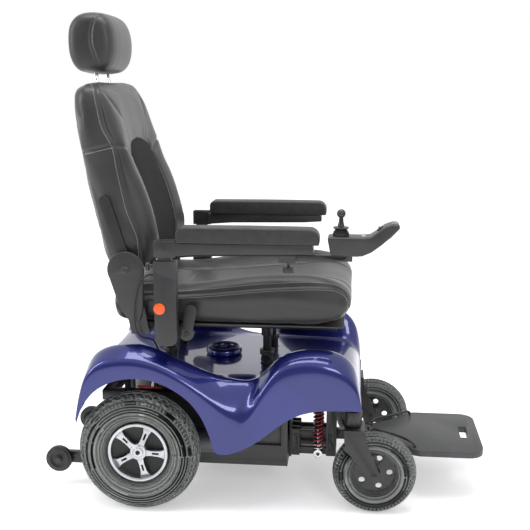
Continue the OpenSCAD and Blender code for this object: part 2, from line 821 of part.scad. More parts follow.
module fork_leg() {
  polygon([
    [-26, crown_z1], [32, crown_z1], [34, crown_z0 - 12],
    [caster_trail + 14, caster_r + 12], [caster_trail, caster_r - 8], [caster_trail - 16, caster_r - 2],
    [-22, crown_z0 - 42], [-26, crown_z0 - 14]
  ]);
  translate([caster_trail, caster_r]) circle(18);
}

module caster_tyre(s) {
  sec = caster_w / 2;
  color(GREY) side(s) translate([caster_x, y_caster, caster_r]) rotate([90, 0, 0]) rotate_extrude($fn = 96)
    difference() {
      union() {
        translate([caster_r - sec, 0]) circle(sec);
        translate([caster_bead_r, -22]) square([20, 44]);
      }
      translate([0, -60]) square([caster_bead_r, 120]);
    }
}

module caster_rim(s) {
  color(SILVER) side(s) translate([caster_x, y_caster, caster_r]) rotate([90, 0, 0]) difference() {
    union() {
      rotate_extrude($fn = 96) {
        translate([caster_bead_r - 6, -23]) square([6, 46]);
        translate([16, -4]) square([caster_bead_r - 20, 8]);
      }
      translate([0, 0, -caster_hub_half]) cylinder(r = 17, h = 2 * caster_hub_half);
    }
    translate([0, 0, -60]) cylinder(r = caster_pin_r + run_fit, h = 120);
    for (i = [0 : 4]) rotate(72 * i) translate([44, 0, -10]) cylinder(r = 9, h = 20);
  }
}

// Footplate ------------------------------------------------------------------

module footplate_outline() {
  half = [
    [foot_x + 13, 34], [foot_x + 35, 54], [foot_x + 90, 90], [foot_x + 120, 124], [foot_x + 142, foot_half - 6],
    [foot_x + 160, foot_half], [foot_front - 45, foot_half]
  ];
  corner = [for (a = [0 : 15 : 90]) [foot_front - 45 + 45 * sin(a), foot_half - 45 + 45 * cos(a)]];
  near = concat(half, corner);
  polygon(concat(near, [for (i = [len(near) - 1 : -1 : 0]) [near[i][0], -near[i][1]]]));
}

module footplate_deck() {
  color(CHARCOAL) difference() {
    union() {
      translate([0, 0, foot_z - foot_t]) linear_extrude(foot_t) footplate_outline();
      for (s = [-1, 1]) side(s) {
        pin(foot_x, foot_pivot_z, hanger_half + side_fit, hanger_half + 14, foot_knuckle_r);
        block([foot_x, hanger_half + side_fit, foot_pivot_z - 9], [foot_x + 20, hanger_half + 14, foot_pivot_z + 9]);
      }
    }
    // Hand slot near the front edge
    block([foot_front - 58, -44, foot_z - foot_t - 1], [foot_front - 34, 44, foot_z + 1]);
    pin(foot_x, foot_pivot_z, -60, 60, foot_pin_r);
  }
  // Hinge pin, fixed in the deck's knuckles
  color(SILVER) pin(foot_x, foot_pivot_z, -hanger_half - 14, hanger_half + 14, foot_pin_r);
}

module footplate_stays() {
  r = 4;
  z = foot_z + 14;
  color(BLACK) for (s = [-1, 1]) side(s)
    cord_tube([
      [foot_x + 21, 33, foot_z + 0.5], [foot_x + 21, 33, foot_z + 6], [foot_x + 28, 40, z], [foot_x + 45, 54, z + 2],
      [foot_x + 100, 90, z + 2], [foot_x + 132, 122, z], [foot_x + 143, 132, z - 4],
      [foot_x + 147, 136, foot_z + 4], [foot_x + 147, 136, foot_z + 0.5]
    ], r, 10, 2);
}

// Seat -----------------------------------------------------------------------

module seat_frame() {
  color(BLACK) {
    block([pan_x0, -215, pan_z], [pan_x1, 215, pan_top]);
    for (s = [-1, 1]) side(s) {
      block([pan_x0 + 10, seat_rail_y0, pan_z - seat_rail_s], [pan_x1 - 20, seat_rail_y0 + seat_rail_s, pan_z]);
      for (x = [rear_post_x, front_post_x]) {
        translate([x, post_y, rail_top + 2]) cylinder(r = post_r, h = pan_z - rail_top - 2 - seat_rail_s / 2);
        translate([x, post_y, pan_z - 60]) cylinder(r = post_r + 5, h = 60 - seat_rail_s / 2);
      }
      // Outrigger under the armrest socket
      block([socket_x0 + 6, seat_rail_y0 + seat_rail_s, pan_z - seat_rail_s], [socket_x1 - 6, arm_y - upright_t / 2 - socket_wall, pan_z - 1]);
      seat_ear();
    }
    for (x = [rear_post_x, front_post_x])
      block([x - 9, -seat_rail_y0, pan_z - 18], [x + 9, seat_rail_y0, pan_z]);
    // Pivot of the recline lever
    side(-1) pin(lever_x, lever_z, seat_rail_y0 + seat_rail_s, seat_half + 22, recline_pin_r);
  }
}

// Upright ear beside the cushion, with the pin that the back turns on
module seat_ear() {
  plate(seat_ear_y0, seat_ear_y1) {
    translate([hinge_x, hinge_z]) circle(30);
    polygon([[hinge_x - 29, hinge_z], [hinge_x + 29, hinge_z], [hinge_x + 62, pan_z - 20], [hinge_x + 10, pan_z - 20]]);
  }
  block([hinge_x + 14, 215, pan_z - 20], [hinge_x + 60, seat_ear_y0, pan_z - 12]);
  block([hinge_x + 14, seat_rail_y0 + seat_rail_s, pan_z - 20], [hinge_x + 60, 215, pan_z]);
  pin(hinge_x, hinge_z, back_arm_y0 - 0.5, seat_ear_y0, hinge_pin_r);
}

module seat_cushion() {
  color(VINYL) difference() {
    union() {
      plate(-seat_half + bolster_w, seat_half - bolster_w) cushion_outline(cushion_top - seat_dish);
      for (s = [-1, 1]) side(s) plate(seat_half - bolster_w, seat_half) cushion_outline(cushion_top);
    }
    pin(hinge_x, hinge_z, -seat_half - 1, seat_half + 1, swing_r);
  }
}

module cushion_outline(top) {
  front = pan_x1 + 30;
  polygon([
    [pan_x0 - 72, cushion_z0], [pan_x0 - 72, cushion_z0 + 70], [pan_x0 - 40, top], [front - 60, top],
    [front - 24, top - 12], [front - 4, cushion_z0 + 105], [front, cushion_z0 + 76], [front - 8, cushion_z0 + 34],
    [front - 30, cushion_z0]
  ]);
}

module armrest_sockets() {
  color(CHARCOAL) for (s = [-1, 1]) side(s) {
    y0 = arm_y - upright_t / 2 - socket_wall;
    y1 = arm_y + upright_t / 2 + socket_wall;
    difference() {
      union() {
        block([socket_x0, y0, socket_z0 + 20], [socket_x1, y1, socket_z1]);
        plate(y0, y1) bar_2d([socket_x0 + 20, socket_z0 + 20], [socket_x1 - 20, socket_z0 + 20], 20);
      }
      block(
        [upright_x - upright_w / 2 - slide_fit, arm_y - upright_t / 2 - slide_fit, socket_z0 + 40],
        [upright_x + upright_w / 2 + slide_fit, arm_y + upright_t / 2 + slide_fit, socket_z1 + 1]);
    }
    // Clamp knob at the top of the rear face
    translate([socket_x0, arm_y, socket_z1 - 16]) rotate([0, -90, 0]) cylinder(r = 6, h = 14);
    translate([socket_x0 - 14, arm_y, socket_z1 - 16]) rotate([0, -90, 0]) cylinder(r = 12, h = 9);
  }
}

module reflectors() {
  color(ORANGE) for (s = [-1, 1]) side(s)
    pin(77, 611, arm_y + upright_t / 2 + socket_wall, arm_y + upright_t / 2 + socket_wall + 5, 16);
}

lever_x = 142;
lever_z = 530;
module recline_lever() {
  color(CHARCOAL) side(-1) {
    difference() {
      plate(seat_half + 12, seat_half + 20) {
        bar_2d([lever_x, lever_z], [lever_x + 14, lever_z + 66], 16);
        translate([lever_x, lever_z]) circle(22);
      }
      pin(lever_x, lever_z, seat_half, seat_half + 21, recline_pin_r + run_fit);
    }
  }
}

// Backrest --------------------------------------------------------------------

module back_outline(front_in) {
  polygon([
    [hinge_x - 86, hinge_z - 6], [hinge_x - 91, hinge_z + 15], [hinge_x - 120, hinge_z + 106],
    [hinge_x - 145, hinge_z + 248], [hinge_x - 159, back_top - 132], [hinge_x - 162, back_top - 48],
    [hinge_x - 142, back_top - 10], [hinge_x - 67, back_top], [hinge_x - 7 - front_in * 0.6, back_top - 14],
    [hinge_x + 13 - front_in, back_top - 64], [hinge_x + 44 - front_in, back_top - 159],
    [hinge_x + 75 - front_in, back_top - 269], [hinge_x + 95 - front_in, back_top - 352],
    [hinge_x + 108 - front_in, back_top - 414], [hinge_x + 104 - front_in, hinge_z + 64],
    [hinge_x + 80 - front_in * 0.5, hinge_z + 12], [hinge_x + 70 - front_in * 0.5, hinge_z - 48]
  ]);
  intersection() {
    translate([hinge_x, hinge_z]) circle(swing_r - 4);
    translate([hinge_x - swing_r, hinge_z - swing_r]) square([2 * swing_r - 20, swing_r + 20]);
  }
}

module back_cushion() {
  color(VINYL) difference() {
    union() {
      plate(-back_half + back_bolster_w, back_half - back_bolster_w) back_outline(back_dish);
      for (s = [-1, 1]) side(s) plate(back_half - back_bolster_w, back_half) back_outline(0);
    }
    for (s = [-1, 1]) side(s) head_tube(head_post_r + slide_fit, -20, 200);
  }
}

// A tube along a headrest post, from its lower end
module head_tube(r, z0, z1) {
  translate([head_post_x, head_post_gap / 2, head_base_z])
    rotate([0, -head_tilt, 0]) translate([0, 0, z0]) cylinder(r = r, h = z1 - z0);
}

module back_frame() {
  color(BLACK) {
    for (s = [-1, 1]) side(s) difference() {
      plate(back_arm_y0, back_arm_y1) {
        translate([hinge_x, hinge_z]) circle(28);
        bar_2d([hinge_x, hinge_z], [hinge_x - 60, hinge_z + 190], 16);
      }
      pin(hinge_x, hinge_z, back_arm_y0 - 1, back_arm_y1 + 1, hinge_pin_r + run_fit);
    }
  }
}

module hinge_covers() {
  color(CHARCOAL) for (s = [-1, 1]) side(s) {
    plate(cover_y0, cover_y1) {
      translate([hinge_x, hinge_z]) circle(52);
      polygon([
        [hinge_x - 50, hinge_z - 12], [hinge_x + 50, hinge_z - 12], [hinge_x + 48, hinge_z - 110],
        [hinge_x + 36, hinge_z - 150], [hinge_x + 8, hinge_z - 150], [hinge_x - 22, hinge_z - 100]
      ]);
    }
    pin(hinge_x, hinge_z, cover_y1, cover_y1 + 4, 9);
  }
}

module headrest_posts() {
  color(SILVER) for (s = [-1, 1]) side(s) head_tube(head_post_r, 0, 205);
}

module headrest_pad() {
  z0 = head_z0;
  x0 = head_post_x - 98;
  color(VINYL) difference() {
    plate(-head_half, head_half) polygon([
      [x0 + 14, z0 + 20], [x0 + 40, z0], [x0 + 112, z0], [x0 + 138, z0 + 24], [x0 + 148, z0 + 90],
      [x0 + 132, z0 + head_h - 22], [x0 + 100, z0 + head_h - 4], [x0 + 60, z0 + head_h],
      [x0 + 22, z0 + head_h - 10], [x0 + 3, z0 + head_h - 50], [x0, z0 + 60]
    ]);
    for (s = [-1, 1]) side(s) head_tube(head_post_r, 0, 205);
  }
}

// Armrests ---------------------------------------------------------------------

module armrest_upright(s) {
  y0 = arm_y - upright_t / 2;
  y1 = arm_y + upright_t / 2;
  color(BLACK) side(s) difference() {
    union() {
      block([upright_x - upright_w / 2, y0, socket_z0 + 56], [upright_x + upright_w / 2, y1, flip_z - 8]);
      plate(y0, y1) {
        translate([flip_x, flip_z]) circle(flip_r - 4);
        translate([flip_x - flip_r + 11, flip_z - 20]) square([upright_w - 4, 20]);
      }
    }
    pin(flip_x, flip_z, y0 - 1, y1 + 1, flip_pin_r + run_fit);
  }
}

module armrest_arm(s) {
  gap = upright_t / 2 + side_fit;
  color(BLACK) side(s) {
    difference() {
      union() {
        for (y = [arm_y - gap - arm_cheek_t, arm_y + gap]) plate(y, y + arm_cheek_t)
          translate([flip_x - 20, flip_z - 24]) square([pad_x0 - flip_x + 18, 46]);
        plate(arm_in, arm_out) polygon([
          [arm_box_x, flip_z - 20], [arm_box_x, arm_z1], [arm_x1 - 8, arm_z1],
          [arm_x1, arm_z1 - 8], [arm_x1, arm_z0 + 4], [arm_x1 - 60, arm_z0], [arm_box_x + 80, arm_z0 - 4]
        ]);
      }
      pin(flip_x, flip_z, arm_in - 1, arm_out + 1, flip_pin_r);
    }
    if (s < 0) controller_clamp();
  }
  color(SILVER) side(s) {
    pin(flip_x, flip_z, arm_y - gap - arm_cheek_t, arm_out, flip_pin_r);
    pin(flip_x, flip_z, arm_out, arm_out + 4, 9);
  }
}

// Block under the right arm that grips the controller bar, with its knob
module controller_clamp() {
  y0 = pad_y - bar_s / 2 - 6;
  y1 = pad_y + bar_s / 2 + 6;
  difference() {
    block([clamp_x0, y0, bar_z0 - 6], [clamp_x1, y1, arm_z0 + 1]);
    block([clamp_x0 - 1, pad_y - bar_s / 2 - slide_fit, bar_z0 - slide_fit], [clamp_x1 + 1, pad_y + bar_s / 2 + slide_fit, bar_z1 + slide_fit]);
  }
  translate([432, pad_y, bar_z0 - 18]) cylinder(r = 4, h = 12);
  translate([432, pad_y, bar_z0 - 34]) cylinder(r = 15, h = 16);
}

module armrest_pad(s) {
  z0 = arm_z1;
  color(VINYL) side(s) translate([0, pad_y - pad_w / 2, 0]) plate(0, pad_w) polygon([
    [pad_x0, z0 + 6], [pad_x0 + 4, z0], [pad_x1 - 8, z0], [pad_x1, z0 + 10], [pad_x1 - 3, z0 + 26],
    [pad_x1 - 18, z0 + pad_h - 8], [pad_x1 - 60, z0 + pad_h - 3], [pad_x0 + 50, z0 + pad_h],
    [pad_x0 + 12, z0 + pad_h - 6], [pad_x0, z0 + pad_h - 22]
  ]);
}

// Controller --------------------------------------------------------------------

module controller_bar() {
  color(BLACK) side(-1) {
    block([bar_x0, pad_y - bar_s / 2, bar_z0], [bar_x1, pad_y + bar_s / 2, bar_z1]);
    block([578, pad_y - 18, bar_z1], [622, pad_y + 18, box_z0]);
  }
}

module controller_housing() {
  y0 = pad_y - box_w / 2;
  y1 = pad_y + box_w / 2;
  color(BLACK) side(-1) difference() {
    plate(y0, y1) polygon([
      [box_x0, box_z0 + 12], [box_x0 + 10, box_z0], [box_x0 + 118, box_z0], [box_x0 + 164, box_z0 + 42],
      [box_x0 + 190, box_z0 + 76], [box_x0 + 184, box_z0 + 87], [box_x0 + 152, box_z0 + 80],
      [box_x0 + 114, box_z0 + 48], [box_x0 + 62, box_z0 + 46], [box_x0 + 8, box_z0 + 46], [box_x0, box_z0 + 38]
    ]);
    translate([stick_x, pad_y, box_z0 + 18]) cylinder(r = 19, h = 60);
    pin(stick_x, stick_z - 18, pad_y - 25, pad_y + 25, stick_pin_r + run_fit);
    dial_place() translate([0, 0, -6]) cylinder(r = 9.4, h = 20);
    button_place() translate([0, 0, -8]) cylinder(r = 6.4, h = 20);
  }
}

// The dial and the button stand on the sloped panel
panel_tilt = -41;
module dial_place() {
  translate([box_x0 + 140, pad_y, box_z0 + 70]) rotate([0, panel_tilt, 0]) children();
}

module button_place() {
  translate([box_x0 + 96, pad_y, box_z0 + 48]) children();
}

// Two rings let the stick tilt both ways: the outer ring rocks on Y trunnions
module joystick_gimbal() {
  color(SILVER) side(-1) translate([stick_x, pad_y, stick_z - 18]) difference() {
    union() {
      cylinder(r = 15, h = 7, center = true);
      for (s = [-1, 1]) side(s) translate([0, 10, 0]) rotate([-90, 0, 0]) cylinder(r = stick_pin_r, h = 14);
    }
    cylinder(r = 10, h = 10, center = true);
    rotate([0, 90, 0]) cylinder(r = stick_pin_r + run_fit, h = 40, center = true);
  }
}

module joystick() {
  color(BLACK) side(-1) translate([stick_x, pad_y, 0]) {
    translate([0, 0, stick_z - 18]) rotate([0, 90, 0]) cylinder(r = stick_pin_r, h = 29, center = true);
    translate([0, 0, stick_z - 24]) cylinder(r = 5, h = 30);
    translate([0, 0, stick_z + 6]) cylinder(r = 8, h = 12);
    translate([0, 0, stick_z + 18]) cylinder(r1 = 6, r2 = 11, h = 34);
    translate([0, 0, stick_z + 52]) intersection() {
      sphere(12.5);
      translate([0, 0, 6]) cube([30, 30, 14], center = true);
    }
  }
}

module speed_dial() {
  color(CHARCOAL) side(-1) dial_place() {
    translate([0, 0, -5.7]) cylinder(r = 9.2, h = 9.7);
    translate([-2, -9, 3.9]) cube([4, 18, 3]);
  }
}

module power_button() {
  color(SILVER) side(-1) button_place() translate([0, 0, -5]) cylinder(r = 6.2, h = 8);
}

module controller_cable() {
  color(BLACK) cord_tube(cable_path, cable_r);
}

module arm_lead() {
  color(BLACK) cord_tube(lead_path, cable_r);
}

// The whole chair, centred over the origin
module place() {
  translate([-x_mid, 0, 0]) children();
}

place() base_frame();
place() battery_tray();
place() batteries();
place() body_shroud();
place() gearmotors();
place() power_module();
place() antitip_arms();
place() seat_sockets();
place() shock_bodies();
place() footrest_hanger();
place() drive_tyre(1);  // drive_tyre_left
place() drive_tyre(-1);  // drive_tyre_right
place() drive_rim(1);  // drive_rim_left
place() drive_rim(-1);  // drive_rim_right
place() freewheel_lever(1);  // freewheel_lever_left
place() freewheel_lever(-1);  // freewheel_lever_right
place() lower_link(1);  // lower_link_left
place() lower_link(-1);  // lower_link_right
place() upper_link(1);  // upper_link_left
place() upper_link(-1);  // upper_link_right
place() caster_carrier(1);  // caster_carrier_left
place() caster_carrier(-1);  // caster_carrier_right
place() shock_rod(1);  // shock_rod_left
place() shock_rod(-1);  // shock_rod_right
place() shock_spring(1);  // shock_spring_left
place() shock_spring(-1);  // shock_spring_right
place() caster_fork(1);  // caster_fork_left
place() caster_fork(-1);  // caster_fork_right
place() caster_tyre(1);  // caster_tyre_left
place() caster_tyre(-1);  // caster_tyre_right
place() caster_rim(1);  // caster_rim_left
place() caster_rim(-1);  // caster_rim_right
place() antitip_wheel(1);  // antitip_wheel_left
place() antitip_wheel(-1);  // antitip_wheel_right
place() footplate_deck();
place() footplate_stays();
place() seat_frame();
place() seat_cushion();
place() armrest_sockets();
place() reflectors();
place() recline_lever();
place() back_frame();
place() back_cushion();
place() hinge_covers();
place() headrest_posts();
place() headrest_pad();
place() armrest_upright(1);  // armrest_upright_left
place() armrest_upright(-1);  // armrest_upright_right
place() armrest_arm(1);  // armrest_arm_left
place() armrest_arm(-1);  // armrest_arm_right
place() armrest_pad(1);  // armrest_pad_left
place() armrest_pad(-1);  // armrest_pad_right
place() controller_bar();
place() controller_housing();
place() joystick_gimbal();
place() joystick();
place() speed_dial();
place() power_button();
place() controller_cable();
place() arm_lead();
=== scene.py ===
import math
import random

import bpy
import bmesh
from mathutils import Matrix, Vector


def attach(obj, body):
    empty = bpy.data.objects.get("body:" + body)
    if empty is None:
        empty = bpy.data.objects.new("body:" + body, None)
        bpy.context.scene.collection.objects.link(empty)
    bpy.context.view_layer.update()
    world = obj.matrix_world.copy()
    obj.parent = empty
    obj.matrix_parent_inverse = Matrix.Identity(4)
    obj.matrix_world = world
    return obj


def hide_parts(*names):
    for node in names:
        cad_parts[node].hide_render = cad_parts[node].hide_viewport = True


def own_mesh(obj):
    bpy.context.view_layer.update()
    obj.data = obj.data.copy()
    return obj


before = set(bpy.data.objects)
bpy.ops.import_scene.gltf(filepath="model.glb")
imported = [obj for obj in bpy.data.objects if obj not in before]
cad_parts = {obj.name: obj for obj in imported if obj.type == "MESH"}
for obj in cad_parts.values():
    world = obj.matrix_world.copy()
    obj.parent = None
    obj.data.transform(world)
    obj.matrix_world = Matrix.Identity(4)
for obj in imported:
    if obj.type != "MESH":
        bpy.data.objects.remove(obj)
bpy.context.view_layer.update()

# The chair's length is centred on the origin, so the rear axle lies behind it by this much.
AXLE_BACK = 0.342


# ---- Camera ----------------------------------------------------------------
# A long lens a little over two and a half metres off the chair's right side,
# at shoulder height and looking slightly down, as for a catalogue picture.
camera_data = bpy.data.cameras.new("camera")
camera_data.lens = 59.4
camera_data.sensor_width = 36.0
camera = bpy.data.objects.new("camera", camera_data)
bpy.context.scene.collection.objects.link(camera)
camera.location = (0.6043 - AXLE_BACK, -2.618, 1.212)
camera.rotation_euler = (math.radians(90 - 11.5), 0, math.radians(5.8))
bpy.context.scene.camera = camera


# ---- Floor and light -------------------------------------------------------
# A plain white sweep under the chair, lit by large soft panels: one high over
# the chair, one long panel behind the camera and a cool one from the rear.
class Value:
    """A socket that varies over a surface, so that shader sums read as arithmetic."""

    def __init__(self, tree, socket):
        self.tree = tree
        self.socket = socket

    def sum(self, operation, *terms):
        node = self.tree.nodes.new("ShaderNodeMath")
        node.operation = operation
        for plug, term in zip(node.inputs, terms):
            if isinstance(term, Value):
                self.tree.links.new(term.socket, plug)
            else:
                plug.default_value = term
        return Value(self.tree, node.outputs[0])

    def __add__(self, other):
        return self.sum("ADD", self, other)

    def __sub__(self, other):
        return self.sum("SUBTRACT", self, other)

    def __rsub__(self, other):
        return self.sum("SUBTRACT", other, self)

    def __mul__(self, other):
        return self.sum("MULTIPLY", self, other)

    def __truediv__(self, other):
        return self.sum("DIVIDE", self, other)

    def __pow__(self, other):
        return self.sum("POWER", self, other)

    def __gt__(self, other):
        return self.sum("GREATER_THAN", self, other)

    def __lt__(self, other):
        return self.sum("LESS_THAN", self, other)

    __radd__ = __add__
    __rmul__ = __mul__


class Finish:
    """A material, with the shader's fixed settings given by name."""

    def __init__(self, name, colour, roughness, **fixed):
        self.material = bpy.data.materials.new(name)
        self.material.use_nodes = True
        self.tree = self.material.node_tree
        self.shader = self.tree.nodes["Principled BSDF"]
        self.shader.inputs["Base Color"].default_value = (*colour, 1)
        self.shader.inputs["Roughness"].default_value = roughness
        for key, value in fixed.items():
            self.shader.inputs[key.replace("_", " ")].default_value = value

    def node(self, kind, out=0, stops=None, settings=None, **plugs):
        node = self.tree.nodes.new("ShaderNode" + kind)
        for key, value in (settings or {}).items():
            setattr(node, key, value)
        if stops:
            ramp = node.color_ramp
            while len(ramp.elements) < len(stops):
                ramp.elements.new(0.5)
            for element, (place, colour) in zip(ramp.elements, stops):
                element.position = place
                element.color = (*colour, 1)
        for key, value in plugs.items():
            plug = node.inputs[key.replace("_", " ")]
            if isinstance(value, Value):
                self.tree.links.new(value.socket, plug)
            else:
                plug.default_value = value
        return Value(self.tree, node.outputs[out])

    def feed(self, plug, value):
        self.tree.links.new(value.socket, self.shader.inputs[plug])

    def place(self, turn=(0, 0, 0), stretch=(1, 1, 1), origin=(0, 0, 0)):
        spot = self.node("TexCoord", out="Object")
        return self.node("Mapping", Vector=spot, Location=origin, Rotation=turn, Scale=stretch)

    def noise(self, where, size, detail=2, roughness=0.5):
        return self.node("TexNoise", out="Fac", Vector=where, Scale=1 / size, Detail=detail,
                         Roughness=roughness)

    def tint(self, mask, low, high, start=0.0, end=1.0):
        self.feed("Base Color", self.node("ValToRGB", stops=[(start, low), (end, high)], Fac=mask))

    def relief(self, height, depth, strength=1.0):
        bump = self.node("Bump", out="Normal", Height=height, Strength=strength, Distance=depth)
        self.feed("Normal", bump)

    def cover(self, *pieces):
        for piece in pieces:
            piece.data.materials.clear()
            piece.data.materials.append(self.material)


def deselect():
    for item in bpy.context.selected_objects:
        item.select_set(False)


def choose(piece):
    deselect()
    piece.select_set(True)
    bpy.context.view_layer.objects.active = piece


def settle(piece, angle=35):
    """Puts the piece's place into its mesh and smooths its shading."""
    choose(piece)
    if piece.type != "MESH":
        bpy.ops.object.convert(target="MESH")
    bpy.ops.object.transform_apply(location=True, rotation=True, scale=True)
    bpy.ops.object.shade_smooth_by_angle(angle=math.radians(angle))
    return piece


def apply_all(piece):
    choose(piece)
    for modifier in list(piece.modifiers):
        bpy.ops.object.modifier_apply(modifier=modifier.name)
    return piece


deselect()
bpy.ops.mesh.primitive_plane_add(size=1)
floor = bpy.context.object
floor.name = "floor"
floor.scale = (16, 16, 1)
bpy.ops.object.transform_apply(scale=True)
bpy.ops.object.mode_set(mode="EDIT")
bpy.ops.mesh.subdivide(number_cuts=3)
bpy.ops.object.mode_set(mode="OBJECT")
white_floor = Finish("floor_white", (0.93, 0.93, 0.935), 0.55, Emission_Color=(1, 1, 1, 1), Emission_Strength=0.3)
grain = white_floor.noise(white_floor.place(), 0.9)
white_floor.tint(grain, (0.92, 0.92, 0.925), (0.94, 0.94, 0.945), 0.4, 0.6)
white_floor.cover(floor)

world = bpy.data.worlds.new("studio")
world.use_nodes = True
sky = world.node_tree
facing = sky.nodes.new("ShaderNodeTexCoord")
upward = sky.nodes.new("ShaderNodeVectorMath")
upward.operation = "DOT_PRODUCT"
upward.inputs[1].default_value = (0, 0.7, 0.75)
lift = sky.nodes.new("ShaderNodeMath")
lift.inputs[1].default_value = 0.3
shade = sky.nodes.new("ShaderNodeValToRGB")
sky.links.new(facing.outputs["Generated"], upward.inputs[0])
sky.links.new(upward.outputs["Value"], lift.inputs[0])
sky.links.new(lift.outputs["Value"], shade.inputs["Fac"])
shade.color_ramp.elements[0].position = 0.0
shade.color_ramp.elements[0].color = (0.36, 0.36, 0.37, 1)
shade.color_ramp.elements[1].position = 0.3
shade.color_ramp.elements[1].color = (1, 1, 1, 1)
sky.links.new(shade.outputs["Color"], sky.nodes["Background"].inputs["Color"])
sky.nodes["Background"].inputs["Strength"].default_value = 1.0
bpy.context.scene.world = world
bpy.context.scene.view_settings.view_transform = "Standard"


def panel(name, place, aim, width, height, power, colour=(1, 1, 1)):
    light = bpy.data.lights.new(name, "AREA")
    light.shape = "RECTANGLE"
    light.size = width
    light.size_y = height
    light.energy = power
    light.color = colour
    lamp = bpy.data.objects.new(name, light)
    lamp.location = place
    lamp.rotation_euler = (Vector(aim) - Vector(place)).to_track_quat("-Z", "Y").to_euler()
    bpy.context.scene.collection.objects.link(lamp)


panel("panel_over", (0, -0.5, 3.2), (0, 0, 0.5), 2.4, 1.2, 50)
panel("panel_front", (1.5, -3.2, 2.2), (0.1, 0, 0.6), 1.0, 1.0, 26)
panel("panel_rear", (-2.6, -1.2, 1.8), (-0.2, 0, 0.7), 0.5, 1.8, 26, (0.95, 0.97, 1))


# ---- Frame steelwork -------------------------------------------------------
# Welded square tube, flat links and plate brackets, powder-coated in one
# satin black, with the coat's fine orange-peel and worn, paler edges.
def dressed(name, width=0.0006):
    """Gives a CAD node's edges the small rounding that the real part's edges have."""
    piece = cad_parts[name]
    weld = piece.modifiers.new("join", "WELD")
    weld.merge_threshold = 0.00002
    flat = piece.modifiers.new("flatten", "DECIMATE")
    flat.decimate_type = "DISSOLVE"
    flat.angle_limit = math.radians(0.6)
    bevel = piece.modifiers.new("round", "BEVEL")
    bevel.width = width
    bevel.segments = 2
    bevel.limit_method = "ANGLE"
    bevel.angle_limit = math.radians(38)
    bevel.harden_normals = False
    choose(piece)
    bpy.ops.object.shade_smooth_by_angle(angle=math.radians(32))
    return piece


def powder_coat(name, colour, roughness):
    coat = Finish(name, colour, roughness, Coat_Weight=0.15, Coat_Roughness=0.25)
    spot = coat.place()
    peel = coat.noise(spot, 0.0018, 3)
    dust = coat.noise(spot, 0.09, 4, 0.6)
    edge = coat.node("NewGeometry", out="Pointiness")
    worn = (edge > 0.56) * coat.noise(spot, 0.004, 3) * 0.5
    high = tuple(c * 1.7 + 0.012 for c in colour)
    coat.tint(dust * 0.7 + worn, colour, high, 0.3, 0.8)
    coat.feed("Roughness", dust * 0.16 + roughness)
    coat.relief(peel, 0.00012, 0.5)
    return coat


black_coat = powder_coat("frame_black", (0.012, 0.012, 0.013), 0.34)
STEELWORK = ["base_frame", "battery_tray", "antitip_arms", "footrest_hanger", "seat_frame",
             "seat_sockets", "back_frame", "shock_bodies"]
for side in ("left", "right"):
    STEELWORK += ["caster_carrier_" + side, "lower_link_" + side, "upper_link_" + side,
                  "armrest_upright_" + side, "armrest_arm_" + side]
for name in STEELWORK:
    black_coat.cover(dressed(name))


# ---- Shroud ----------------------------------------------------------------
# One vacuum-formed body panel in metallic deep blue under clear lacquer. It
# runs over both drive wheels, dips, and rises into a hump over each caster.
# Sections from tail to nose: lower edge, shoulder, crest and deck, as (x from
# the rear axle, z), then the half width there.
DECK = 0.392
SECTIONS = [
    ((-0.174, 0.266), (-0.176, 0.286), (-0.178, 0.292), (-0.178, 0.300), 0.318),
    ((-0.160, 0.306), (-0.164, 0.350), (-0.166, 0.366), (-0.166, 0.345), 0.319),
    ((-0.140, 0.340), (-0.146, 0.402), (-0.150, 0.424), (-0.156, 0.384), 0.320),
    ((-0.108, 0.372), (-0.116, 0.438), (-0.120, 0.464), (-0.132, 0.402), 0.320),
    ((-0.060, 0.397), (-0.066, 0.455), (-0.070, 0.486), (-0.085, 0.404), 0.320),
    ((0.000, 0.407), (0.000, 0.458), (0.000, 0.492), (-0.015, 0.400), 0.320),
    ((0.060, 0.399), (0.064, 0.444), (0.066, 0.474), (0.060, 0.396), 0.320),
    ((0.112, 0.376), (0.124, 0.416), (0.128, 0.446), (0.125, DECK), 0.320),
    ((0.156, 0.343), (0.180, 0.380), (0.188, 0.418), (0.185, DECK), 0.320),
    ((0.190, 0.297), (0.232, 0.340), (0.244, 0.396), (0.240, DECK), 0.320),
    ((0.212, 0.245), (0.272, 0.312), (0.285, 0.386), (0.280, DECK), 0.320),
    ((0.228, 0.196), (0.305, 0.300), (0.315, 0.384), (0.315, DECK), 0.319),
    ((0.262, 0.190), (0.334, 0.326), (0.345, 0.398), (0.345, DECK), 0.318),
    ((0.300, 0.203), (0.362, 0.374), (0.376, 0.434), (0.378, DECK), 0.317),
    ((0.345, 0.228), (0.398, 0.424), (0.408, 0.464), (0.412, DECK), 0.315),
    ((0.398, 0.270), (0.442, 0.450), (0.452, 0.482), (0.455, DECK), 0.312),
    ((0.450, 0.305), (0.500, 0.458), (0.506, 0.488), (0.506, DECK), 0.309),
    ((0.505, 0.322), (0.552, 0.450), (0.556, 0.482), (0.556, 0.390), 0.306),
    ((0.560, 0.326), (0.594, 0.430), (0.596, 0.462), (0.596, 0.384), 0.303),
    ((0.602, 0.326), (0.622, 0.398), (0.622, 0.424), (0.620, 0.362), 0.301),
    ((0.630, 0.326), (0.636, 0.356), (0.636, 0.366), (0.634, 0.334), 0.300),
    ((0.637, 0.326), (0.638, 0.332), (0.638, 0.334), (0.638, 0.330), 0.300),
]
SHROUD_T = 0.0035


def mix(a, b, t):
    return a + (b - a) * t


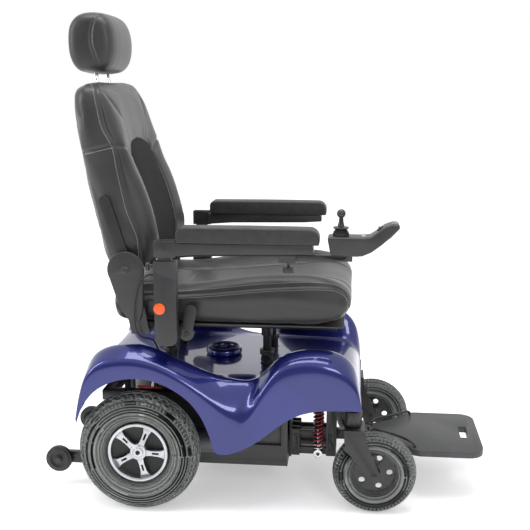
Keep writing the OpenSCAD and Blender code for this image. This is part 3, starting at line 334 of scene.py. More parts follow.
def smooth_line(points, steps):
    """A curve through the points, with that many steps between each two."""
    points = [Vector(p) for p in points]
    line = []
    for k in range((len(points) - 1) * steps + 1):
        i = min(k // steps, len(points) - 2)
        t = k / steps - i
        a, b, c, d = (points[max(0, min(len(points) - 1, i + step))] for step in (-1, 0, 1, 2))
        line.append(0.5 * (2 * b + (c - a) * t + (2 * a - 5 * b + 4 * c - d) * t * t
                           + (3 * b - a - 3 * c + d) * t ** 3))
    return line


def shroud_half(section):
    """One side's outline, from the lower edge over the crest to the deck's middle."""
    edge_x, edge_z, mid_x, mid_z, crest_x, crest_z, deck_x, deck_z, wide = section
    crest_y = wide - 0.062
    foot_y = min(crest_y - 0.042, wide - 0.104)
    return smooth_line([
        (edge_x, wide, edge_z),
        (mix(edge_x, mid_x, 0.5), wide + 0.0005, mix(edge_z, mid_z, 0.5)),
        (mix(edge_x, mid_x, 0.9), wide - 0.002, mix(edge_z, mid_z, 0.88)),
        (mid_x, wide - 0.016, mix(mid_z, crest_z, 0.3)),
        (crest_x, crest_y, crest_z),
        (mix(crest_x, deck_x, 0.5), mix(crest_y, foot_y, 0.5), mix(crest_z, deck_z, 0.4)),
        (deck_x, foot_y, mix(crest_z, deck_z, 0.93)),
        (deck_x, foot_y - 0.04, deck_z),
        (deck_x, 0.06, deck_z),
        (deck_x, 0, deck_z),
    ], 4)


def bored(piece, x, y, z, radius, depth=0.1):
    """Cuts an upright round hole."""
    deselect()
    bpy.ops.mesh.primitive_cylinder_add(vertices=96, radius=radius, depth=depth, location=(x, y, z))
    tool = bpy.context.object
    cut = piece.modifiers.new("hole", "BOOLEAN")
    cut.operation = "DIFFERENCE"
    cut.object = tool
    cut.solver = "EXACT"
    apply_all(piece)
    bpy.data.objects.remove(tool)


flat_rows = [[value for pair in row[:4] for value in pair] + [row[4]] for row in SECTIONS]
rows = []
for number in range((len(flat_rows) - 1) * 4 + 1):
    i = min(number // 4, len(flat_rows) - 2)
    near = [flat_rows[max(0, min(len(flat_rows) - 1, i + step))] for step in (-1, 0, 1, 2)]
    t = number / 4 - i
    rows.append([0.5 * (2 * b + (c - a) * t + (2 * a - 5 * b + 4 * c - d) * t * t
                        + (3 * b - a - 3 * c + d) * t ** 3) for a, b, c, d in zip(*near)])
outlines = []
for row in rows:
    half = shroud_half(row)
    outlines.append(half + [Vector((p.x, -p.y, p.z)) for p in reversed(half[:-1])])
across = len(outlines[0])
deselect()
bpy.ops.mesh.primitive_grid_add(x_subdivisions=across - 1, y_subdivisions=len(outlines) - 1, size=1)
shroud = bpy.context.object
shroud.name = "shroud_panel"
for vertex in shroud.data.vertices:
    vertex.co = outlines[vertex.index // across][vertex.index % across] - Vector((AXLE_BACK, 0, 0))
wall = shroud.modifiers.new("wall", "SOLIDIFY")
wall.thickness = SHROUD_T
wall.offset = -1
wall.use_even_offset = True
apply_all(shroud)
COLLAR_X = 0.210 - AXLE_BACK
COLLAR_R = 0.040
POST_XS = (0.060 - AXLE_BACK, 0.354 - AXLE_BACK)
bored(shroud, COLLAR_X, 0, DECK, COLLAR_R)
for x in POST_XS:
    for y in (-0.088, 0.088):
        bored(shroud, x, y, DECK, 0.0215)
bored(shroud, 0.046 - AXLE_BACK, -0.170, DECK, 0.0065)
settle(shroud, 50)
blue = Finish("shroud_blue", (0.004, 0.007, 0.10), 0.3, Metallic=0.6, Coat_Weight=1.0, Coat_Roughness=0.03)
spot = blue.place()
flake = blue.node("TexVoronoi", out="Distance", Vector=spot, Scale=1400)
drift = blue.noise(spot, 0.25)
blue.tint(flake * 0.5 + drift * 0.5, (0.003, 0.005, 0.07), (0.010, 0.016, 0.19), 0.2, 0.75)
blue.feed("Roughness", flake * 0.12 + 0.24)
blue.relief(blue.noise(spot, 0.006, 2), 0.00004, 0.3)
blue.cover(shroud)
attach(shroud, "base")
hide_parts("body_shroud")


# ---- Collar of the battery well --------------------------------------------
# A rolled ring in the shroud's own blue stands round the hole in the deck,
# with a black rubber grommet pushed into its inner edge.
def ring(name, x, z, radius, thick, tall, segments=96):
    deselect()
    bpy.ops.mesh.primitive_torus_add(major_segments=segments, minor_segments=24, major_radius=radius,
                                     minor_radius=thick, location=(x, 0, z))
    piece = bpy.context.object
    piece.name = name
    piece.scale = (1, 1, tall)
    return settle(piece, 60)


collar = ring("collar_ring", COLLAR_X, DECK + 0.0105, COLLAR_R + 0.008, 0.0085, 1.5)
blue.cover(collar)
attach(collar, "base")
grommet = ring("collar_grommet", COLLAR_X, DECK + 0.0215, COLLAR_R + 0.0035, 0.0042, 1.0)
soft_black = Finish("soft_black", (0.012, 0.012, 0.012), 0.42)
spot = soft_black.place()
soft_black.tint(soft_black.noise(spot, 0.03), (0.009, 0.009, 0.009), (0.02, 0.02, 0.02), 0.35, 0.7)
soft_black.relief(soft_black.noise(spot, 0.0012), 0.0001, 0.5)
soft_black.cover(grommet)
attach(grommet, "base")


# ---- Drive tyres -----------------------------------------------------------
# Fat grey non-marking tyres moulded with a block tread: a zigzag groove on
# each shoulder, cross cuts between, and fine rings on the side walls.
def tyre(name, centre, ring_r, section_r, around, round_section, cuts, depth, ribs, width=1.0):
    deselect()
    bpy.ops.mesh.primitive_torus_add(major_segments=around, minor_segments=round_section,
                                     major_radius=ring_r, minor_radius=section_r,
                                     rotation=(math.pi / 2, 0, 0))
    piece = bpy.context.object
    piece.name = name
    piece.location = (0, 0, 0)
    bpy.ops.object.transform_apply(rotation=True)
    piece.scale = (1, width, 1)
    bpy.ops.object.transform_apply(scale=True)
    for polygon in piece.data.polygons:
        spot = polygon.center
        radial = math.hypot(spot.x, spot.z) - ring_r
        slant = math.degrees(math.atan2(spot.y / width, radial))
        turn = int((math.atan2(spot.z, spot.x) / math.tau + 0.5) * around)
        polygon.select = cuts(slant, turn)
    bpy.ops.object.mode_set(mode="EDIT")
    bpy.ops.mesh.select_mode(type="FACE")
    bpy.ops.mesh.extrude_region_shrink_fatten(TRANSFORM_OT_shrink_fatten={"value": -depth})
    bpy.ops.object.mode_set(mode="OBJECT")
    for polygon in piece.data.polygons:
        spot = polygon.center
        slant = abs(math.degrees(math.atan2(spot.y / width, math.hypot(spot.x, spot.z) - ring_r)))
        polygon.select = any(low < slant < high for low, high in ribs)
    bpy.ops.object.mode_set(mode="EDIT")
    bpy.ops.mesh.extrude_region_shrink_fatten(TRANSFORM_OT_shrink_fatten={"value": 0.0009})
    bpy.ops.object.mode_set(mode="OBJECT")
    piece.location = centre
    return settle(piece, 40)


def drive_cuts(slant, turn):
    """Zigzag grooves round the crown and the shoulder, joined by short cross cuts."""
    row = int(abs(slant) / 5)
    step = turn + (4 if slant < 0 else 0)
    wave = (0, 1, 2, 1)
    now = wave[(step // 2) % 4]
    before = wave[((step - 1) // 2) % 4]
    for base in (2, 7):
        if row in (base + now, base + before):
            return True
    if 5 <= row <= 6:
        return step % 8 == 4
    if row in (0, 1):
        return step % 16 == 8 and slant > 0 or step % 16 == 0 and slant < 0
    return row in (11, 12) and step % 4 == 1


grey_tyre = Finish("tyre_grey", (0.26, 0.27, 0.262), 0.62)
spot = grey_tyre.place()
cloud = grey_tyre.noise(spot, 0.07, 4, 0.6)
speck = grey_tyre.noise(spot, 0.0025, 3)
grey_tyre.tint(cloud * 0.7 + speck * 0.3, (0.21, 0.22, 0.213), (0.30, 0.31, 0.30), 0.35, 0.66)
grey_tyre.feed("Roughness", cloud * 0.2 + 0.45)
grey_tyre.relief(speck, 0.0002, 0.6)
WHEEL_R = 0.178
WHEEL_Y = 0.275
for side, s in (("left", 1), ("right", -1)):
    rubber = tyre("drive_tyre_tread_" + side, (-AXLE_BACK, s * WHEEL_Y, WHEEL_R), 0.133, 0.0449, 352, 72,
                  drive_cuts, 0.0019, ((101, 104), (111, 114), (121, 124)))
    grey_tyre.cover(rubber)
    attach(rubber, "drive_wheel_" + side)
    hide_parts("drive_tyre_" + side)


# ---- Caster tyres ----------------------------------------------------------
# The same grey rubber in a smaller size, with close fine blocks and a rib
# that runs unbroken round the middle of the tread.
def caster_cuts(slant, turn):
    lean = abs(slant)
    if lean > 63:
        return False
    if 9 < lean < 14 or 33 < lean < 38:
        return True
    return lean >= 11 and (turn + (1 if slant > 0 else 3)) % 4 == 0


CASTER_X = 0.680 - AXLE_BACK
for side, s in (("left", 1), ("right", -1)):
    rubber = tyre("caster_tyre_tread_" + side, (CASTER_X, s * 0.235, 0.121), 0.090, 0.0309, 240, 46,
                  caster_cuts, 0.0015, ((100, 110), (118, 125)))
    grey_tyre.cover(rubber)
    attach(rubber, "caster_wheel_" + side)
    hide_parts("caster_tyre_" + side)


# ---- Wheel rims ------------------------------------------------------------
# Die-cast five-spoke alloy, polished on its faces; the small caster rims are
# pressed steel enamelled gloss black.
def metal(name, colour, roughness, grain_size=0.0015, metallic=1.0):
    skin = Finish(name, colour, roughness, Metallic=metallic)
    spot = skin.place()
    smear = skin.noise(spot, 0.04, 4, 0.6)
    skin.tint(smear, tuple(c * 0.82 for c in colour), tuple(min(1, c * 1.1) for c in colour), 0.3, 0.7)
    skin.feed("Roughness", smear * 0.18 + (roughness - 0.06))
    skin.relief(skin.noise(spot, grain_size, 2), 0.00006, 0.4)
    return skin


alloy = metal("alloy", (0.50, 0.51, 0.53), 0.26)
gloss_black = powder_coat("caster_rim_black", (0.010, 0.010, 0.011), 0.16)
for side in ("left", "right"):
    gloss_black.cover(dressed("caster_rim_" + side, 0.0006))
    black_coat.cover(dressed("caster_fork_" + side, 0.0009))


# ---- Drive rims ------------------------------------------------------------
# Each is one casting: a rolled outer ring, five slotted spokes with flared
# feet and a stepped hub. A near-black disc behind them is painted shade,
# so that the openings between the spokes read dark.
def turned(name, profile, centre, outward=1, segments=96):
    """A solid turned about the wheel's axle from (radius, distance outward) points."""
    shape = bmesh.new()
    loops = []
    for radius, out in profile:
        loops.append([shape.verts.new((centre[0] + radius * math.cos(turn * math.tau / segments),
                                       centre[1] + outward * out,
                                       centre[2] + radius * math.sin(turn * math.tau / segments)))
                      for turn in range(segments)])
    for low, high in zip(loops, loops[1:]):
        for i in range(segments):
            shape.faces.new((low[i], low[(i + 1) % segments], high[(i + 1) % segments], high[i]))
    if profile[0][0] < 0.002:
        shape.faces.new(loops[0])
    if profile[-1][0] < 0.002:
        shape.faces.new(loops[-1])
    if profile[0] == profile[-1]:
        bmesh.ops.remove_doubles(shape, verts=shape.verts, dist=1e-6)
    bmesh.ops.recalc_face_normals(shape, faces=shape.faces)
    deselect()
    bpy.ops.mesh.primitive_plane_add(size=0.01)
    piece = bpy.context.object
    piece.name = name
    shape.to_mesh(piece.data)
    shape.free()
    return settle(piece, 35)


def spokes(name, centre, outward):
    """Five spokes, each slotted between its hub and its flared foot."""
    radii = (0.020, 0.030, 0.041, 0.060, 0.070, 0.0805)
    halves = (0.0105, 0.0085, 0.0080, 0.0092, 0.0118, 0.0175)
    slot = 0.0026
    shape = bmesh.new()
    for number in range(5):
        angle = math.radians(67 + 72 * number)
        along = Vector((math.cos(angle), 0, math.sin(angle)))
        over = Vector((-math.sin(angle), 0, math.cos(angle)))
        grid = []
        for place, (radius, half) in enumerate(zip(radii, halves)):
            dish = 0.024 - 0.006 * (radius / 0.08) ** 2
            middle = Vector(centre) + along * radius + Vector((0, outward * dish, 0))
            grid.append([shape.verts.new(middle + over * side) for side in (-half, -slot, slot, half)])
        for i in range(5):
            for j in range(3):
                if not (i == 2 and j == 1):
                    shape.faces.new((grid[i][j], grid[i + 1][j], grid[i + 1][j + 1], grid[i][j + 1]))
    deselect()
    bpy.ops.mesh.primitive_plane_add(size=0.01)
    piece = bpy.context.object
    piece.name = name
    bmesh.ops.recalc_face_normals(shape, faces=shape.faces)
    if (shape.faces[:][0].normal.y > 0) != (outward > 0):
        bmesh.ops.reverse_faces(shape, faces=shape.faces)
    shape.to_mesh(piece.data)
    shape.free()
    thick = piece.modifiers.new("thick", "SOLIDIFY")
    thick.thickness = 0.010
    thick.offset = -1
    edge = piece.modifiers.new("edge", "BEVEL")
    edge.width = 0.0016
    edge.segments = 3
    edge.limit_method = "ANGLE"
    edge.angle_limit = math.radians(40)
    apply_all(piece)
    return settle(piece, 40)


def joined(name, pieces):
    choose(pieces[0])
    for piece in pieces:
        piece.select_set(True)
    bpy.context.view_layer.objects.active = pieces[0]
    bpy.ops.object.join()
    bpy.context.object.name = name
    return bpy.context.object


RIM_RING = [(0.0785, 0.0270), (0.0800, 0.0292), (0.0835, 0.0305), (0.0872, 0.0300), (0.0892, 0.0280),
            (0.0890, 0.0255), (0.0862, 0.0225), (0.0858, -0.026), (0.0885, -0.029), (0.0880, -0.0300),
            (0.0790, -0.0300), (0.0785, -0.026), (0.0785, 0.0270)]
HUB = [(0.0255, -0.024), (0.0255, 0.018), (0.0245, 0.0235), (0.0225, 0.0255), (0.0160, 0.0258),
       (0.0150, 0.0285), (0.0138, 0.0295), (0.0075, 0.0296), (0.0066, 0.0288), (0.0064, 0.0200), (0.001, 0.0198)]
# Profile of the near-black disc inside the spokes, which is painted shade for the wheel's dark hollow.
SHADE_DISC = [(0.001, 0.004), (0.060, 0.004), (0.072, 0.007), (0.0784, 0.008), (0.0784, 0.005),
              (0.073, 0.004), (0.061, 0.001), (0.001, 0.001)]
# Near-black finish: painted shade on the disc behind the spokes, and the real colour of the axle end caps.
shade_disc_and_cap_black = powder_coat("painted_shade_disc_and_cap", (0.004, 0.004, 0.004), 0.5)
for side, s in (("left", 1), ("right", -1)):
    hub_place = (-AXLE_BACK, s * WHEEL_Y, WHEEL_R)
    casting = joined("drive_rim_casting_" + side, [
        turned("rim_ring", RIM_RING, hub_place, s, 128),
        spokes("rim_spokes", hub_place, s),
        turned("rim_hub", HUB, hub_place, s, 64),
    ])
    alloy.cover(casting)
    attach(casting, "drive_wheel_" + side)
    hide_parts("drive_rim_" + side)
    # Painted shade: a near-black disc behind the spokes darkens the openings between them.
    plate = turned("drive_shade_disc_" + side, SHADE_DISC, hub_place, s)
    shade_disc_and_cap_black.cover(plate)
    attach(plate, "drive_wheel_" + side)
    axle_end = turned("drive_axle_end_" + side, [(0.001, 0.0215), (0.0058, 0.0215), (0.0062, 0.0209),
                                                 (0.0062, 0.0190), (0.001, 0.0190)], hub_place, s, 48)
    shade_disc_and_cap_black.cover(axle_end)
    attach(axle_end, "drive_wheel_" + side)
    bolt_place = (-AXLE_BACK + 0.004, s * (WHEEL_Y + 0.0255), WHEEL_R + 0.0185)
    bolt = turned("drive_hub_bolt_" + side, [(0.001, 0.0052), (0.0030, 0.0052), (0.0036, 0.0044), (0.0036, 0.0006),
                                             (0.0050, 0.0006), (0.0050, -0.0006), (0.001, -0.0006)],
                  bolt_place, s, 6)
    alloy.cover(bolt)
    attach(bolt, "drive_wheel_" + side)


# ---- Motors, batteries and control module ----------------------------------
# Grey die-cast gearmotors with satin housings, two sealed batteries in ribbed
# black cases, and the moulded power module that sits over them.
cast_grey = metal("motor_grey", (0.09, 0.09, 0.095), 0.45, 0.002, 0.6)
cast_grey.cover(dressed("gearmotors", 0.001))
case_black = powder_coat("battery_case", (0.02, 0.02, 0.022), 0.5)
case_black.cover(dressed("batteries", 0.0015), dressed("power_module", 0.0012))


# ---- Springs, rods and fittings --------------------------------------------
# Wine-red lacquered coil springs over chromed damper rods, chrome headrest
# posts, and red freewheel levers behind the motors.
chrome = metal("chrome", (0.72, 0.72, 0.74), 0.1)
red_lacquer = powder_coat("spring_red", (0.20, 0.006, 0.012), 0.2)
lever_red = powder_coat("lever_red", (0.42, 0.012, 0.012), 0.3)


def spring(name, x, y, low, high, mean_r, wire_r, turns, around=40, sides=10):
    """An upright coil of round wire, with its ends closed flat."""
    shape = bmesh.new()
    last = None
    for i in range(turns * around + 1):
        angle = math.tau * i / around
        height = low + (high - low) * i / (turns * around)
        out = Vector((math.cos(angle), math.sin(angle), 0))
        middle = Vector((x - AXLE_BACK, y, height)) + out * mean_r
        loop = [shape.verts.new(middle + (out * math.cos(turn) + Vector((0, 0, math.sin(turn)))) * wire_r)
                for turn in (math.tau * k / sides for k in range(sides))]
        if last:
            for k in range(sides):
                shape.faces.new((last[k], last[(k + 1) % sides], loop[(k + 1) % sides], loop[k]))
        else:
            shape.faces.new(loop)
        last = loop
    shape.faces.new(last)
    bmesh.ops.recalc_face_normals(shape, faces=shape.faces)
    deselect()
    bpy.ops.mesh.primitive_plane_add(size=0.01)
    piece = bpy.context.object
    piece.name = name
    shape.to_mesh(piece.data)
    shape.free()
    return settle(piece, 60)


for side, s in (("left", 1), ("right", -1)):
    chrome.cover(dressed("shock_rod_" + side, 0.0004))
    coil = spring("spring_coil_" + side, 0.510, s * 0.053, 0.1168, 0.2292, 0.0132, 0.0028, 9)
    red_lacquer.cover(coil)
    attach(coil, "base")
    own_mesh(coil)
    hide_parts("shock_spring_" + side)
    lever_red.cover(dressed("freewheel_lever_" + side))
    soft_black.cover(dressed("antitip_wheel_" + side, 0.0012))
chrome.cover(dressed("headrest_posts", 0.0005), dressed("joystick_gimbal", 0.0003))


# ---- Footplate -------------------------------------------------------------
# A moulded grey-black plate with a fine leather-like grain and a hand slot at
# its front, carried by two bent wire stays.
deck_grey = powder_coat("deck_grey", (0.042, 0.043, 0.045), 0.5)
deck_grey.cover(dressed("footplate_deck", 0.0015))
black_coat.cover(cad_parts["footplate_stays"])


# ---- Moulded plastic parts -------------------------------------------------
# Satin black mouldings: the armrest sockets, the round hinge covers, the
# recline lever, and the joystick controller's case and knobs.
satin_plastic = powder_coat("socket_plastic", (0.016, 0.016, 0.017), 0.38)
satin_plastic.cover(dressed("armrest_sockets", 0.002), dressed("hinge_covers", 0.003), dressed("recline_lever", 0.002))
case_plastic = powder_coat("controller_plastic", (0.014, 0.014, 0.015), 0.36)
case_plastic.cover(dressed("controller_bar", 0.0008), dressed("speed_dial", 0.0006))
silver_plastic = powder_coat("button_silver", (0.42, 0.42, 0.44), 0.3)
silver_plastic.cover(dressed("power_button", 0.0003))
orange = powder_coat("reflector_orange", (0.75, 0.09, 0.008), 0.12)
orange.cover(dressed("reflectors", 0.0006))


# ---- Armrest pads ----------------------------------------------------------
# Moulded foam pads with a soft leathery skin: an upright nose, a quarter-round
# corner above it, and rounded long edges.
def slab(name, outline, low, high, width, segments=4, limit=50):
    """An outline in X and Z from the rear axle, made solid from low to high in Y with its edges rounded."""
    shape = bmesh.new()
    near, far = [[shape.verts.new((x - AXLE_BACK, y, z)) for x, z in outline] for y in (low, high)]
    shape.faces.new(near)
    shape.faces.new(far)
    for i in range(len(near)):
        j = (i + 1) % len(near)
        shape.faces.new((near[i], near[j], far[j], far[i]))
    bmesh.ops.recalc_face_normals(shape, faces=shape.faces)
    deselect()
    bpy.ops.mesh.primitive_plane_add(size=0.01)
    piece = bpy.context.object
    piece.name = name
    shape.to_mesh(piece.data)
    shape.free()
    edge = piece.modifiers.new("edge", "BEVEL")
    edge.width = width
    edge.segments = segments
    edge.limit_method = "ANGLE"
    edge.angle_limit = math.radians(limit)
    apply_all(piece)
    return settle(piece, 40)


def arc(x, z, radius, start, end, steps=8):
    turns = [math.radians(start + (end - start) * i / steps) for i in range(steps + 1)]
    return [(x + radius * math.cos(t), z + radius * math.sin(t)) for t in turns]


PAD_OUTLINE = (arc(0.489, 0.812, 0.027, 0, 90) + [(0.42, 0.8396), (0.32, 0.8400), (0.22, 0.8394)]
               + arc(0.143, 0.822, 0.017, 90, 180) + arc(0.133, 0.803, 0.007, 180, 270, 4)
               + [(0.30, 0.7955), (0.508, 0.7955)] + arc(0.511, 0.8005, 0.005, 270, 360, 4))
pad_skin = Finish("pad_skin", (0.014, 0.014, 0.015), 0.46)
spot = pad_skin.place()
pad_grain = pad_skin.node("TexVoronoi", out="Distance", Vector=spot, Scale=900.0)
pad_skin.feed("Roughness", pad_skin.noise(spot, 0.05, 3) * 0.16 + 0.4)
pad_skin.tint(pad_skin.noise(spot, 0.02, 3), (0.012, 0.012, 0.013), (0.022, 0.022, 0.023), 0.3, 0.7)
pad_skin.relief(pad_grain, 0.00025, 0.5)
for side, s in (("left", 1), ("right", -1)):
    pad = slab("armrest_cushion_" + side, PAD_OUTLINE, s * 0.286 - 0.031, s * 0.286 + 0.031, 0.0085, 5)
    pad_skin.cover(pad)
    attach(pad, "arm_" + side)
    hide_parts("armrest_pad_" + side)


# ---- Joystick controller ---------------------------------------------------
# A wedge case whose wing climbs to a glossy rounded nose, a ribbed rubber boot
# under a flanged collar, a ball knob on a tapered neck, and a dial near the nose.
CASE_OUTLINE = (arc(0.545, 0.8130, 0.007, 90, 180, 5) + arc(0.553, 0.778, 0.008, 190, 270, 5)
                + [(0.600, 0.7695), (0.630, 0.7690)] + [(0.655, 0.780), (0.680, 0.799), (0.705, 0.821)]
                + arc(0.7195, 0.8480, 0.0085, -35, 100, 9) + [(0.706, 0.8560), (0.690, 0.8500)]
                + [(0.668, 0.8330), (0.652, 0.8220), (0.636, 0.8200), (0.610, 0.8200)])
housing = slab("controller_case", CASE_OUTLINE, -0.319, -0.253, 0.005, 4, 60)
case_plastic.cover(housing)
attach(housing, "controller")
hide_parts("controller_housing")


def upright(name, profile, x, y, segments=64):
    """A solid turned about an upright line at x, y from (radius, height) points."""
    shape = bmesh.new()
    loops = [[shape.verts.new((x - AXLE_BACK + r * math.cos(t), y + r * math.sin(t), z))
              for t in (math.tau * k / segments for k in range(segments))] for r, z in profile]
    for low, high in zip(loops, loops[1:]):
        for i in range(segments):
            shape.faces.new((low[i], low[(i + 1) % segments], high[(i + 1) % segments], high[i]))
    shape.faces.new(loops[0])
    shape.faces.new(loops[-1])
    bmesh.ops.recalc_face_normals(shape, faces=shape.faces)
    deselect()
    bpy.ops.mesh.primitive_plane_add(size=0.01)
    piece = bpy.context.object
    piece.name = name
    shape.to_mesh(piece.data)
    shape.free()
    return settle(piece, 40)


STICK_X = 0.573
rubber = Finish("boot_rubber", (0.012, 0.012, 0.012), 0.6)
rubber.relief(rubber.noise(rubber.place(), 0.002, 2), 0.00008, 0.4)
boot = upright("joystick_boot", [(0.0215, 0.816), (0.0225, 0.8255), (0.0220, 0.8275), (0.0190, 0.8285),
                                 (0.0205, 0.8300), (0.0205, 0.8315), (0.0165, 0.8328), (0.0178, 0.8345),
                                 (0.0178, 0.8360), (0.0130, 0.8375), (0.010, 0.840)], STICK_X, -0.286)
rubber.cover(boot)
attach(boot, "controller")
gloss_knob = powder_coat("knob_gloss", (0.010, 0.010, 0.011), 0.12)
knob = upright("joystick_knob", [(0.0040, 0.812), (0.0050, 0.838), (0.0195, 0.8395), (0.0215, 0.8410), (0.0215, 0.8432),
                                 (0.0195, 0.8445), (0.0095, 0.8455), (0.0085, 0.8500), (0.0062, 0.8600),
                                 (0.0058, 0.8680)]
               + arc(0, 0.8800, 0.0120, -62, 84, 18), STICK_X, -0.286)
gloss_knob.cover(knob)
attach(knob, "stick")
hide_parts("joystick")
nose = slab("controller_nose", [(0.698, 0.8140), (0.706, 0.8205)] + arc(0.7195, 0.8485, 0.0092, -35, 100, 9)
            + [(0.708, 0.8588), (0.706, 0.840)], -0.3150, -0.2570, 0.004, 3, 60)
gloss_knob.cover(nose)
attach(nose, "controller")


# ---- Control cables --------------------------------------------------------
# The controller's cable runs along the arm to a loop behind the socket, then
# hangs down, goes in under the seat and drops into the base.
CABLE_ROUTE = [
    (0.062, -0.290, 0.702), (0.052, -0.290, 0.702), (0.036, -0.290, 0.698), (0.020, -0.290, 0.682),
    (0.008, -0.290, 0.650), (0.000, -0.288, 0.610), (-0.002, -0.286, 0.570), (0.002, -0.280, 0.536),
    (0.012, -0.264, 0.514), (0.024, -0.240, 0.504), (0.034, -0.216, 0.490), (0.041, -0.196, 0.464),
    (0.045, -0.180, 0.434), (0.046, -0.172, 0.408), (0.046, -0.170, 0.385), (0.046, -0.170, 0.355),
    (0.046, -0.170, 0.326),
]
LEAD_ROUTE = [
    (0.128, -0.304, 0.756), (0.150, -0.304, 0.758), (0.175, -0.304, 0.760), (0.200, -0.304, 0.762),
    (0.260, -0.304, 0.763), (0.320, -0.304, 0.764), (0.380, -0.304, 0.765), (0.440, -0.304, 0.766),
    (0.480, -0.304, 0.766), (0.505, -0.304, 0.764), (0.530, -0.303, 0.760), (0.552, -0.302, 0.757),
    (0.570, -0.300, 0.756), (0.582, -0.300, 0.757), (0.588, -0.300, 0.761), (0.588, -0.300, 0.7656),
]


def tube(name, route, radius, sides=12):
    """A round tube along one smooth curve through the route's points, closed at both ends."""
    path = smooth_line([Vector((x - AXLE_BACK, y, z)) for x, y, z in route], 4)
    shape = bmesh.new()
    last = None
    up = Vector((0, 1, 0.02)).normalized()
    for i, spot in enumerate(path):
        ahead = (path[min(i + 1, len(path) - 1)] - path[max(i - 1, 0)]).normalized()
        across = ahead.cross(up).normalized()
        up = across.cross(ahead).normalized()
        loop = [shape.verts.new(spot + (across * math.cos(t) + up * math.sin(t)) * radius)
                for t in (math.tau * k / sides for k in range(sides))]
        if last:
            for k in range(sides):
                shape.faces.new((last[k], last[(k + 1) % sides], loop[(k + 1) % sides], loop[k]))
        else:
            shape.faces.new(loop)
        last = loop
    shape.faces.new(last)
    bmesh.ops.recalc_face_normals(shape, faces=shape.faces)
    deselect()
    bpy.ops.mesh.primitive_plane_add(size=0.01)
    piece = bpy.context.object
    piece.name = name
    shape.to_mesh(piece.data)
    shape.free()
    return settle(piece, 60), path


for name, node, route, body, length in (("cable_lower_run", "controller_cable", CABLE_ROUTE, "seat", 0.463),
                                        ("cable_arm_run", "arm_lead", LEAD_ROUTE, "arm_right", 0.467)):
    cable, path = tube(name, route, 0.0025)
    rubber.cover(cable)
    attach(cable, body)
    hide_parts(node)


# ---- Seat cushion ----------------------------------------------------------
# Moulded foam under stitched black vinyl: a dished middle between two raised
# side rolls, a rounded nose, and a double row of pale thread along each side.
def loft(name, outlines):
    """A closed skin over rings of points that all have the same count."""
    count = len(outlines[0])
    deselect()
    bpy.ops.mesh.primitive_cylinder_add(vertices=count, radius=1, depth=1, end_fill_type="NOTHING")
    piece = bpy.context.object
    piece.name = name
    shape = bmesh.new()
    loops = [[shape.verts.new(point) for point in outline] for outline in outlines]
    for low, high in zip(loops, loops[1:]):
        for i in range(count):
            shape.faces.new((low[i], low[(i + 1) % count], high[(i + 1) % count], high[i]))
    for loop, last in ((loops[0], False), (loops[-1], True)):
        middle = shape.verts.new(sum((v.co for v in loop), Vector()) / count)
        for i in range(count):
            pair = (loop[i], loop[(i + 1) % count])
            shape.faces.new((*pair, middle) if last else (*reversed(pair), middle))
    bmesh.ops.recalc_face_normals(shape, faces=shape.faces)
    shape.to_mesh(piece.data)
    shape.free()
    return piece


def remesh(piece, size):
    choose(piece)
    block = piece.modifiers.new("even", "REMESH")
    block.mode = "VOXEL"
    block.voxel_size = size
    return apply_all(piece)


def near_lines(piece, lines, reach):
    """For each vertex near one of the lines, how far off it is."""
    from mathutils.kdtree import KDTree
    spots = [p for line in lines for p in line]
    tree = KDTree(len(spots))
    for number, p in enumerate(spots):
        tree.insert(p, number)
    tree.balance()
    found = {}
    for vertex in piece.data.vertices:
        _, _, gap = tree.find(vertex.co)
        if gap < reach:
            found[vertex.index] = gap
    return found


def swell(piece, seams, pressure, most, frames=20):
    """Puffs the cover up between its seams by cloth simulation, no further than most."""
    held = piece.vertex_groups.new(name="sewn")
    held.add(list(near_lines(piece, seams, 0.006)), 1.0, "REPLACE")
    start = [v.co.copy() for v in piece.data.vertices]
    cloth = piece.modifiers.new("cover", "CLOTH")
    cloth.settings.quality = 5
    cloth.settings.mass = 0.4
    cloth.settings.tension_stiffness = 12
    cloth.settings.compression_stiffness = 12
    cloth.settings.bending_stiffness = 0.6
    cloth.settings.use_pressure = True
    cloth.settings.uniform_pressure_force = pressure
    cloth.settings.effector_weights.gravity = 0
    cloth.settings.vertex_group_mass = "sewn"
    cloth.collision_settings.use_collision = False
    scene = bpy.context.scene
    for number in range(1, frames + 1):
        scene.frame_set(number)
    puffed = piece.evaluated_get(bpy.context.evaluated_depsgraph_get())
    moved = [v.co.copy() for v in puffed.data.vertices]
    piece.modifiers.remove(cloth)
    scene.frame_set(1)
    for vertex, old, new in zip(piece.data.vertices, start, moved):
        step = new - old
        if step.length > most:
            step *= most / step.length
        vertex.co = old + step


def relax(piece, rounds, factor=0.5):
    choose(piece)
    smooth = piece.modifiers.new("even", "SMOOTH")
    smooth.factor = factor
    smooth.iterations = rounds
    apply_all(piece)


def subdivide(piece):
    choose(piece)
    finer = piece.modifiers.new("finer", "SUBSURF")
    finer.levels = finer.render_levels = 1
    apply_all(piece)


def press(piece, lines, reach, depth):
    """Draws the cover in along sewn lines."""
    found = near_lines(piece, lines, reach)
    normals = {i: piece.data.vertices[i].normal.copy() for i in found}
    for i, gap in found.items():
        pull = (1 - (gap / reach) ** 2) ** 2
        piece.data.vertices[i].co -= normals[i] * depth * pull


def on_surface(piece, points, spacing=0.002):
    """A line laid on the cover through the given points, with points at an even spacing."""
    line = smooth_line(points, 16)
    even = [line[0]]
    for a, b in zip(line, line[1:]):
        while (b - even[-1]).length > spacing and (b - a).length > 1e-6:
            step = even[-1] + (b - even[-1]).normalized() * spacing
            even.append(step)
    laid = []
    for p in even:
        _, spot, normal, _ = piece.closest_point_on_mesh(p)
        laid.append((spot, normal))
    return laid


